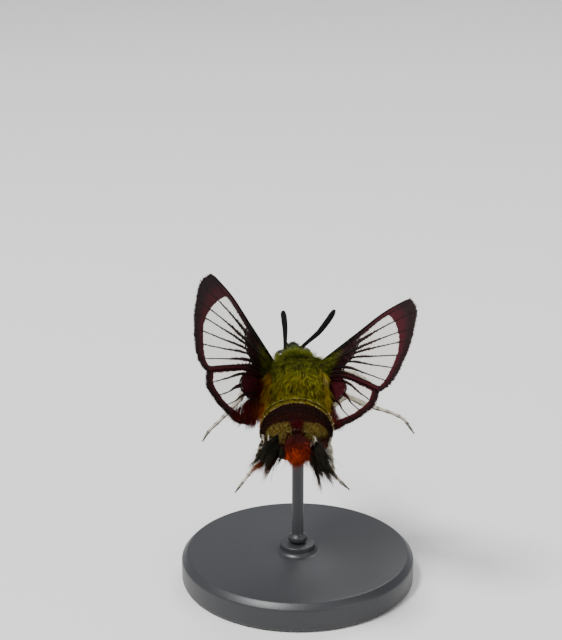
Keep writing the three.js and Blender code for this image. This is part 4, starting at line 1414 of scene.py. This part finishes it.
class MOTH_OT_legs(Operator):
    """Six jointed legs in pale scales, with spurs and claws"""

    bl_idname = "moth.legs"
    bl_label = "Legs"

    LEGS = {
        "foreleg_right": [
            (1.1, 3.0, -2.6, 0.5), (3.0, 4.6, -3.7, 0.44), (5.2, 5.9, -2.3, 0.4),
            (8.0, 5.8, -2.4, 0.34), (9.3, 5.4, -2.9, 0.28), (10.6, 4.8, -3.7, 0.2),
        ],
        "foreleg_left": [
            (-1.1, 3.0, -2.6, 0.5), (-2.4, 4.2, -4.7, 0.44), (-3.6, 5.0, -5.7, 0.4),
            (-4.6, 6.6, -6.6, 0.34), (-5.2, 7.8, -7.8, 0.28), (-5.6, 8.7, -9.0, 0.2),
        ],
        "midleg_right": [
            (1.3, -0.4, -2.8, 0.52), (3.6, 0.6, -4.6, 0.46), (6.6, 1.7, -3.1, 0.42),
            (9.4, 1.6, -4.4, 0.38), (12.8, 1.0, -5.3, 0.3), (14.6, 0.4, -6.0, 0.27),
            (15.9, -0.7, -7.4, 0.2),
        ],
        "midleg_left": [
            (-1.3, -0.4, -2.8, 0.52), (-4.0, 1.2, -4.6, 0.46), (-7.2, 2.7, -3.2, 0.42),
            (-8.1, 2.5, -4.4, 0.4), (-10.6, 1.4, -6.9, 0.32), (-12.2, 0.7, -8.3, 0.27),
            (-13.1, 0.1, -9.6, 0.2),
        ],
        "hindleg_right": [
            (1.2, -2.8, -2.4, 0.52), (2.9, -2.0, -5.0, 0.48), (3.5, -2.2, -6.1, 0.44),
            (4.3, -5.6, -6.3, 0.4), (4.8, -8.4, -7.8, 0.3), (5.7, -9.2, -8.6, 0.27),
            (6.7, -9.8, -9.3, 0.2),
        ],
        "hindleg_left": [
            (-1.2, -2.8, -2.4, 0.52), (-3.1, -1.9, -4.9, 0.48), (-4.0, -2.4, -5.5, 0.44),
            (-5.0, -5.6, -5.6, 0.4), (-5.9, -7.6, -7.3, 0.32), (-7.1, -8.8, -8.5, 0.27),
            (-8.3, -10.0, -9.6, 0.2),
        ],
    }
    BANDED = "hindleg_left"
    FOOT_RINGS = 5
    SCALES = 1250
    SPUR_JOINT = 3  # where the shin ends and the foot starts
    SPURLESS_JOINTS = 6  # the forelegs have this many, and no spurs
    SPUR_LENGTH = 1.5
    SPUR_SPLAY = 0.5
    CLAW_LENGTH = 0.5
    SLIMMER = 0.82  # the skin's share of the solid's radius, under the scales
    LEAN = (0.2, 1, 0.1)

    def horns(self, bm, foot, way, length, radius, tint):
        """A pair of spurs or claws, splayed to both sides of a way."""
        side = unit(np.cross(way, (0, 1, 0)))
        for sign in (1, -1):
            lean = unit(way + side * sign * self.SPUR_SPLAY)
            end = foot + lean * length
            middle = (foot + end) / 2 - side * sign * length * 0.06
            joints = [
                (*(foot - lean * 0.1), radius), (*middle, radius * 0.7), (*end, radius * 0.15)
            ]
            drawn_out(bm, limb_form(joints, lean=self.LEAN), 10, 8, tint)

    def execute(self, context):
        c = colours(context)
        for seed, (name, joints) in enumerate(self.LEGS.items()):
            self.leg(name, joints, np.random.default_rng(200 + seed), c)
        return {"FINISHED"}

    def leg(self, name, joints, rng, c):
        """A leg with its claws and its scales, and with spurs but for the forelegs."""
        joints = np.array(joints, float)
        foot_start = shares_along(joints[:, :3])[0][self.SPUR_JOINT]

        def rings(place):
            """How near a place is to the middle of one of the foot's rings."""
            in_foot = np.clip((place - foot_start) / (1 - foot_start), 0, 1)
            return np.abs(np.sin(in_foot * self.FOOT_RINGS * np.pi))

        def swell(place):
            ring = 1 - 0.16 * rings(place) ** 0.6
            shin = 1 + 0.1 * np.cos((place / foot_start) * 2 * WHOLE_TURN)
            return np.where(place > foot_start, ring, shin) * self.SLIMMER

        form = limb_form(joints, lean=self.LEAN, rings=swell)
        dark = np.array(srgb(0x1A1008))
        pale = mixed(c.cream, (1, 1, 1), 0.4)

        def marks(place, angle):
            _, across, up = form.line.section(place, form.lean)
            # painted shade: the side of the leg that faces down is darkened
            low = rise(-across[:, 2] * np.cos(angle) - up[:, 2] * np.sin(angle), -0.42, 0.1)
            joint = np.where(place > foot_start, rings(place) < 0.3, 0)
            if name == self.BANDED:
                bands = (np.sin(place * 135) > 0.2) * between(place, 0.36, 0.7, 0.01)
                joint = np.maximum(joint, 1.3 * bands)
            tone = mixed(pale, dark, np.clip(0.95 * low + 0.7 * joint, 0, 1))
            return mixed(tone, dark, 0.85 * rise(place, 0.86, 0.97))

        bm = bmesh.new()
        # painted shade: the shaft under the scales is the marks at 0.6 of their brightness
        drawn_out(bm, form, 120, 16, lambda place, angle: marks(place, angle) * 0.6, even=True)
        ways = unit(np.diff(joints[:, :3], axis=0))
        tip = joints[-1, :3] - ways[-1] * 0.1
        self.horns(bm, tip, ways[-1], self.CLAW_LENGTH, 0.07, dark)
        if len(joints) > self.SPURLESS_JOINTS:
            ankle = joints[self.SPUR_JOINT, :3]
            way = ways[self.SPUR_JOINT - 1]
            self.horns(bm, ankle, way, self.SPUR_LENGTH, 0.13, c.cream * 0.7)
        shown(f"{name}_shaft", bm, toned("Horn"), "pale_scales", name)
        place, angle = scattered(form, self.SCALES, rng, (0.02, 0.96))
        on = form.surface(place, angle)
        spot = place + rng.normal(0, 0.003, len(place))
        tint = marks(spot, angle + rng.normal(0, 0.15, len(place)))
        shaggy = 0.36 * (1 + 0.9 * (1 - rise(place, foot_start * 0.9, foot_start * 1.05)))
        if name == self.BANDED:
            shaggy = np.where(place > 0.34, 0.24, shaggy)
        batch = laid(
            on, rng, tint, shaggy, 0.07, lift=0.2, curl=-0.05, messy=0.12, flat=0.3,
            profile=SCALE, shade=0.22, sink=0.02,
        )
        coat(f"{name}_scales", [batch], "pale_scales")


# Wings: cross curves (along the span, towards the rear) from the root to the outer edge
HINGE = (3.79, 1.99, 2.86)
WING_POSE = {"right": (60.4, 24.8, 15.2), "left": (69.6, 18.5, 31.2)}  # elevation, sweep, twist
DROOP = 0.0025
CELL_END = 1 / 3
FOREWING = SimpleNamespace(
    crossings=[
        [(-2.2, -0.5), (-2.2, 1.5)],
        [(8.4, -0.8), (8.5, 0.3), (7.9, 1.2), (6.4, 1.85), (4.8, 2.2), (3.6, 3.2)],
        [(15.6, -1.0), (15.2, 0.9), (14.3, 3.0), (12.4, 4.6), (10.3, 5.5), (8.6, 5.8)],
        [(21.6, -0.5), (23.1, 1.6), (21.7, 4.5), (19.8, 6.3), (17.8, 7.7), (15.4, 8.6), (13.0, 8.6)],
    ],
    veins=(0.05, 0.17, 0.3, 0.4, 0.53, 0.66, 0.82, 0.94),
    stems=(0.05, 0.3, 0.82, 0.94),
    border=((0, 0.15, 0.35, 0.5, 0.65, 0.8, 1), (5.8, 5.4, 3.2, 2.1, 1.9, 1.5, 1.1)),
    streak=0.3,  # half width of the scales along a vein where it leaves the cell
    height=0,
    rear_scales=((0, 1), (0.85, 0.7)),
)
# The solids keep a gap between the wings, which the hindwing's front edge closes here
HINDWING = SimpleNamespace(
    crossings=[
        [(-2.6, 1.6), (-4.1, 4.2)],
        [(3.5, 3.0), (4.4, 5.0), (3.4, 5.8), (1.8, 6.0), (0, 5.7), (-4.0, 5.1)],
        [(8.4, 5.6), (8.0, 7.4), (6.0, 7.9), (3.6, 8.0), (1.0, 7.6), (-3.6, 6.5)],
        [(12.6, 8.3), (11.3, 9.6), (9.4, 9.9), (7.0, 10.0), (3.8, 9.8), (0.6, 9.5), (-2.6, 8.2)],
    ],
    veins=(0.12, 0.3, 0.48, 0.66, 0.84),
    stems=(0.12, 0.48, 0.84),
    border=((0, 0.2, 0.5, 0.8, 1), (1.6, 1.3, 1.2, 1.3, 2.0)),
    streak=0.34,
    height=-0.22,  # under the forewing
    rear_scales=((0, 0.35, 0.7, 1), (4.2, 4.3, 3.8, 2.6)),
)


def wing_frame(side):
    """The wing's own frame: outwards on the right side, forwards, and its upper face."""
    sign = SIDES[side]
    elevation, sweep, twist = map(math.radians, WING_POSE[side])
    span = Vector((
        sign * math.cos(elevation) * math.cos(sweep),
        -math.sin(sweep),
        math.sin(elevation) * math.cos(sweep),
    ))
    rear = Vector((0, -1, 0))
    rear = (rear - span * rear.dot(span)).normalized()
    rear.rotate(Matrix.Rotation(twist * sign, 3, span))
    outward = span * sign
    forward = -rear
    upper = outward.cross(forward)
    basis = Matrix((outward, forward, upper)).transposed().to_4x4()
    return MOTH @ Matrix.Translation((sign * HINGE[0], HINGE[1], HINGE[2])) @ basis


WING_SHAPES = {"forewing": FOREWING, "hindwing": HINDWING}


class WingSurface:
    """A wing's middle surface, read by its share across from the leading edge and its
    share out from the root."""

    STEP = 0.01

    def __init__(self, kind, side):
        self.kind = kind
        self.name = f"{kind}_{side}"
        self.shape = shape = WING_SHAPES[kind]
        self.sign = SIDES[side]
        self.frame = wing_frame(side)
        self.cross_lines = [Line(points, held_ends=True) for points in shape.crossings]

    def flat(self, across, out):
        """Distances along the span and towards the rear."""
        p = [line.at(across) for line in self.cross_lines]
        p = [p[0]] + p + [p[-1]]
        spot = np.clip(np.asarray(out, float) * 3, 0, 3)
        span = np.minimum(spot.astype(int), 2)
        t = (spot - span)[..., None]
        stack = np.stack(p)
        before, start, end, after = (stack[span + k, np.arange(len(span))] for k in range(4))
        return turned_curve(start, end, 0.5 * (end - before), 0.5 * (after - start), t)

    def point(self, across, out, height=0.0):
        flat = self.flat(across, out)
        up = height + self.shape.height - DROOP * flat[:, 1] ** 2
        return np.stack([self.sign * flat[:, 0], -flat[:, 1], up], -1)

    def scaled(self, across, out):
        """Millimetres inside the scaled border, the scaled base and the scaled edges and
        veins, and less than 0 in the clear windows."""
        flat = self.flat(across, out)
        edge = self.flat(across, np.ones_like(out))
        cell = self.flat(across, np.full_like(out, CELL_END))
        border = np.interp(across, *self.shape.border) - np.linalg.norm(edge - flat, axis=1)
        inner = np.linalg.norm(flat - cell, axis=1) * np.where(out < CELL_END, 1, -1)
        lead = self.flat(np.zeros_like(across), out)
        trail = self.flat(np.ones_like(across), out)
        costa = 0.95 - 0.45 * out - np.linalg.norm(flat - lead, axis=1)
        rear = np.interp(out, *self.shape.rear_scales) - np.linalg.norm(flat - trail, axis=1)
        edges = np.maximum(np.maximum(costa, rear), (border + rear) / 2 + 0.3)
        fade = 1 - 0.85 * rise(out, CELL_END, 0.75)
        for vein in self.shape.veins:
            off = np.linalg.norm(flat - self.flat(np.full_like(across, vein), out), axis=1)
            streak = np.where(out > CELL_END * 0.9, self.shape.streak * fade - off, -1)
            edges = np.maximum(edges, streak)
        return border, inner, edges

    def surface(self, across, out, face):
        """Roots on one of the wing's faces, 1 for the upper and -1 for the lower."""
        step = self.STEP
        out = np.clip(out, step, 1 - step)
        across = np.clip(across, step, 1 - step)
        rear = self.point(across, out + step) - self.point(across, out - step)
        sideways = self.point(across + step, out) - self.point(across - step, out)
        normal = unit(np.cross(rear, sideways))
        normal = normal * np.sign(normal[:, 2:]) * face[:, None]
        return SimpleNamespace(
            root=self.point(across, out),
            normal=normal,
            rear=unit(rear),
            round=unit(sideways),
            unwrap=np.stack([across * 0.5 + np.where(face > 0, 0, 0.5), out], -1),
            frame=self.frame,
        )


class MOTH_OT_wings(Operator):
    """Clear wings with black veins, scaled borders and bases, a fringe and base fur"""

    bl_idname = "moth.wings"
    bl_label = "Wings"

    CLEAR = 0xA89C88  # tint of the clear windows
    GRID = (100, 110)
    VEIN_RADIUS = (0.15, 0.05)  # near the root, and at the edge
    FRINGE = 1000
    BASE_STRANDS = 2200
    BASE_REACH = {"forewing": 0.31, "hindwing": 0.34}
    INNER_STRANDS = 1900

    def membrane_material(self):
        """Clear between the veins, and covered in scales where the mesh says so."""
        material, tree, shader = new_material("Wing membrane")
        tone = shaded_tint(tree, root=1, tip=1, mottle=0.7, scale=2500)
        scaled = add(tree, "Attribute", {}, attribute_name="scaled").outputs["Fac"]
        ragged = sum_of(tree, "MULTIPLY_ADD", noise_of(tree, 3000, 2), 0.55, scaled)
        cover = from_range(tree, ragged, from_min=0.2, from_max=0.35)
        blend = add(
            tree, "MixRGB", {"Fac": cover, "Color1": (*srgb(self.CLEAR), 1), "Color2": tone}
        )
        wire(tree, shader, {
            "Base Color": blend.outputs["Color"],
            "Alpha": from_range(tree, cover, to_min=0.16, to_max=1),
            "Roughness": from_range(tree, cover, to_min=0.12, to_max=0.7),
            "Normal": bump(tree, noise_of(tree, 900, 3), 0.5, 0.1 * MM),
            "Specular IOR Level": 0.2,
        })
        return material

    def tint(self, wing, across, out, c):
        """The scales' colour: a dark outer edge that turns burgundy inwards, and the base."""
        border, _, _ = wing.scaled(across, out)
        width = np.interp(across, *wing.shape.border)
        tone = mixed(c.burgundy, mixed(c.black, c.burgundy, 0.2), rise(border / width, 0.2, 0.75))
        if wing.kind == "forewing":
            base = mixed(c.olive, mixed(c.black, c.burgundy, 0.3), rise(out, 0.1, 0.24))
            return mixed(base, tone, rise(out, 0.3, 0.5))
        base = mixed(mixed(c.rust_dark, c.rust, 0.5), c.burgundy, rise(out, 0.02, 0.2))
        inner = rise(across, 0.6, 0.9) * (1 - rise(out, 0.8, 0.97))
        base = mixed(base, mixed(c.rust_dark, c.orange, 0.3), inner * rise(out, 0.1, 0.4))
        return mixed(base, tone, rise(out, 0.3, 0.5) * (1 - inner))

    def membrane(self, wing, sizes, c, material):
        """The wing between its veins, with its colours and where it is scaled."""
        bm = bmesh.new()
        bmesh.ops.create_grid(bm, x_segments=self.GRID[0], y_segments=self.GRID[1], size=0.5)
        co = np.array([v.co[:] for v in bm.verts]) + 0.5
        across, out = co[:, 0], co[:, 1]
        points = placed(wing.point(across, out), wing.frame)
        border, inner, edges = wing.scaled(across, out)
        scaled = np.maximum(np.maximum(border, inner), edges)
        tints = self.tint(wing, across, out, c)
        tint_slot = tint_layer(bm)
        scaled_slot = bm.verts.layers.float.new("scaled")
        for vert, point, tone, depth in zip(bm.verts, points, tints, scaled):
            vert.co = point
            vert[tint_slot] = (*tone, 0)
            vert[scaled_slot] = depth
        piece = shown(f"{wing.name}_membrane", bm, material, "wing", wing.name)
        wall = piece.modifiers.new("thickness", "SOLIDIFY")
        wall.thickness = sizes.membrane * MM
        wall.offset = 0

    def veins(self, wing, c):
        """Tubes along the veins, across the ends of the cells and along the front edge."""
        bm = bmesh.new()
        stems = wing.shape.stems
        for vein in wing.shape.veins:
            out = np.linspace(0.05 if vein in stems else CELL_END, 0.985, 16)
            self.tube(bm, wing, vein, out, np.interp(out, (0, 1), self.VEIN_RADIUS), c)
        out = CELL_END + 0.02 * np.sin(np.linspace(0, np.pi, 7))
        for ends in zip(stems, stems[1:]):
            self.tube(bm, wing, np.linspace(*ends, 7), out, self.VEIN_RADIUS[0] * 0.7, c)
        self.tube(bm, wing, 0.0, np.linspace(0.04, 0.99, 20), np.linspace(0.2, 0.08, 20), c)
        shown(f"{wing.name}_veins", bm, toned("Horn"), "wing")

    def tube(self, bm, wing, across, out, radius, c):
        across, out, radius = np.broadcast_arrays(across, out, radius)
        joints = np.column_stack([wing.point(across, out), radius])
        form = limb_form(joints, frame_matrix=wing.frame, tension=0.5)
        drawn_out(bm, form, len(joints) * 2, 8, c.black * 0.8, even=True)

    def fringe(self, wing, c):
        """Hair scales along the outer edge and the rear edge."""
        rng = np.random.default_rng(308 + wing.sign)
        count = self.FRINGE
        tint = np.tile(mixed(c.black, c.burgundy, 0.3), (count, 1))
        across = rng.uniform(0.0, 1, count)
        on = wing.surface(across, rng.uniform(0.95, 0.99, count), rng.choice([-1, 1], count))
        outer = laid(on, rng, tint, 0.62, 0.07, lift=0.02, curl=0, messy=0.1, flat=0.3, sink=0)
        count = self.FRINGE // 2
        out = rng.uniform(0.1, 0.98, count)
        on = wing.surface(rng.uniform(0.96, 0.99, count), out, rng.choice([-1, 1], count))
        on.rear, on.round = on.round, on.rear
        rear = laid(on, rng, tint[:count], 0.5, 0.07, lift=0.02, curl=0, splay=0.6,
                    messy=0.1, flat=0.3, sink=0)
        coat(f"{wing.name}_fringe", [outer, rear], "wing")

    def base_fur(self, wing, c):
        """Fur over the root, and on the hindwing long fur along the inner edge."""
        rng = np.random.default_rng(328 + wing.sign)
        count = self.BASE_STRANDS
        reach = self.BASE_REACH[wing.kind]
        across = rng.uniform(0.02, 0.98, count)
        out = 0.01 + rng.uniform(0.0, 1, count) ** 1.4 * reach
        on = wing.surface(across, out, rng.choice([-1, 1], count))
        tint = self.tint(wing, across, out, c)
        length = 1.5 - 0.9 * rise(out, 0.05, 0.3)
        batches = [
            laid(on, rng, tint, length, 0.075, lift=0.25, curl=-0.12, messy=0.15, sink=0,
                 clump=12, pull=0.5)
        ]
        if wing.kind == "hindwing":
            count = self.INNER_STRANDS
            across = 1 - rng.uniform(0, 1, count) ** 1.3 * 0.44
            out = 0.02 + 0.83 * rng.uniform(0, 1, count) ** 1.2
            on = wing.surface(across, out, rng.choice([-1, 1], count))
            spot = out + rng.normal(0, 0.1, count) + 0.7 * (1 - across)
            tint = mixed(c.orange, mixed(c.burgundy, c.rust_dark, 0.5), rise(spot, 0.15, 0.6))
            batches.append(
                laid(on, rng, tint, 2.4 - out, 0.075, lift=0.15, curl=-0.05,
                     splay=1.2 - 0.5 * out, messy=0.15, sink=0, clump=16, pull=0.6)
            )
        coat(f"{wing.name}_base_fur", batches, "wing")

    def execute(self, context):
        sizes = lengths(context)
        c = colours(context)
        material = self.membrane_material()
        for side in SIDES:
            for kind in WING_SHAPES:
                wing = WingSurface(kind, side)
                self.membrane(wing, sizes, c, material)
                self.veins(wing, c)
                self.fringe(wing, c)
                self.base_fur(wing, c)
        return {"FINISHED"}


class MOTH_OT_stand(Operator):
    """A turned round base with a boss, and a rod with a soft collar"""

    bl_idname = "moth.stand"
    bl_label = "Stand"

    STEPS = 128
    BEVEL = 0.18
    EDGE = 0.4  # slope at the base's foot and round the boss
    SHOULDER = 0.8  # slope at the base's top
    COLLAR = (0.5, 0.7)  # how far it stands out from the rod, and its height

    def paint(self, colour):
        material, tree, shader = new_material("Stand paint")
        noise, colour = wandering(tree, 4000, colour * 0.8, colour * 1.25)
        wire(tree, shader, {
            "Base Color": colour, "Normal": bump(tree, noise, 0.25, 0.05 * MM), "Roughness": 0.42,
        })
        return material

    def turned(self, name, profile, material, *replaced):
        """A profile of radii and heights, spun round the upright axis."""
        bm = bmesh.new()
        verts = [bm.verts.new(Vector((x, 0, z)) * MM) for x, z in profile]
        edges = [bm.edges.new(pair) for pair in zip(verts, verts[1:])]
        bmesh.ops.spin(
            bm, geom=verts + edges, axis=UP, cent=(0, 0, 0), steps=self.STEPS,
            angle=WHOLE_TURN, use_merge=True,
        )
        bmesh.ops.remove_doubles(bm, verts=bm.verts, dist=1e-7)
        bmesh.ops.recalc_face_normals(bm, faces=bm.faces)
        piece = shown(name, bm, material, "stand_paint", *replaced)
        bevel = piece.modifiers.new("soft edges", "BEVEL")
        bevel.width = self.BEVEL * MM
        bevel.segments = 3
        bevel.limit_method = "ANGLE"
        bevel.angle_limit = math.radians(25)

    def execute(self, context):
        c = colours(context)
        material = self.paint(c.paint)
        top = BASE_HEIGHT
        boss = BASE_HEIGHT + BOSS_HEIGHT
        self.turned(
            "stand_base_turned",
            [
                (0, 0), (BASE_RADIUS - self.EDGE, 0), (BASE_RADIUS, self.EDGE),
                (BASE_RADIUS, top - self.SHOULDER), (BASE_RADIUS - self.SHOULDER, top),
                (BOSS_RADIUS + self.EDGE, top), (BOSS_RADIUS, top + self.EDGE),
                (BOSS_RADIUS, boss), (0, boss),
            ],
            material, "stand_base",
        )
        low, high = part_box("stand_rod")
        foot, head = low[2] / MM, high[2] / MM
        wide, tall = self.COLLAR
        self.turned(
            "stand_rod_turned",
            [
                (0, foot), (ROD_RADIUS + wide, foot), (ROD_RADIUS + wide, foot + tall),
                (ROD_RADIUS, foot + 1.0), (ROD_RADIUS, head - 0.25), (0, head - 0.1),
            ],
            material, "stand_rod",
        )
        return {"FINISHED"}


OPERATORS = (
    MOTH_OT_stage,
    MOTH_OT_skin,
    MOTH_OT_fur,
    MOTH_OT_abdomen_scales,
    MOTH_OT_tail,
    MOTH_OT_eyes,
    MOTH_OT_face,
    MOTH_OT_antennae,
    MOTH_OT_legs,
    MOTH_OT_wings,
    MOTH_OT_stand,
)


class MOTH_PT_panel(Panel):
    """Lists the moth's pieces in the sidebar"""

    bl_idname = "MOTH_PT_panel"
    bl_label = "Clearwing moth"
    bl_space_type = "VIEW_3D"
    bl_region_type = "UI"
    bl_category = "Moth"

    def draw(self, context):
        for settings in (context.scene.moth_sizes, context.scene.moth_colours):
            for key in settings.__annotations__:
                self.layout.prop(settings, key)
        for operator in OPERATORS:
            self.layout.operator(operator.bl_idname)


CLASSES = (MothSizes, MothColours, *OPERATORS, MOTH_PT_panel)


def register():
    for item in CLASSES:
        bpy.utils.register_class(item)
    bpy.types.Scene.moth_sizes = PointerProperty(type=MothSizes)
    bpy.types.Scene.moth_colours = PointerProperty(type=MothColours)


def unregister():
    del bpy.types.Scene.moth_colours
    del bpy.types.Scene.moth_sizes
    for item in reversed(CLASSES):
        bpy.utils.unregister_class(item)


def main():
    """Registers and runs each operator in turn."""
    register()
    bpy.ops.moth.stage()
    bpy.ops.moth.skin()
    bpy.ops.moth.fur()
    bpy.ops.moth.abdomen_scales()
    bpy.ops.moth.tail()
    bpy.ops.moth.eyes()
    bpy.ops.moth.face()
    bpy.ops.moth.antennae()
    bpy.ops.moth.legs()
    bpy.ops.moth.wings()
    bpy.ops.moth.stand()
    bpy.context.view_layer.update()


if __name__ == "__main__":
    main()
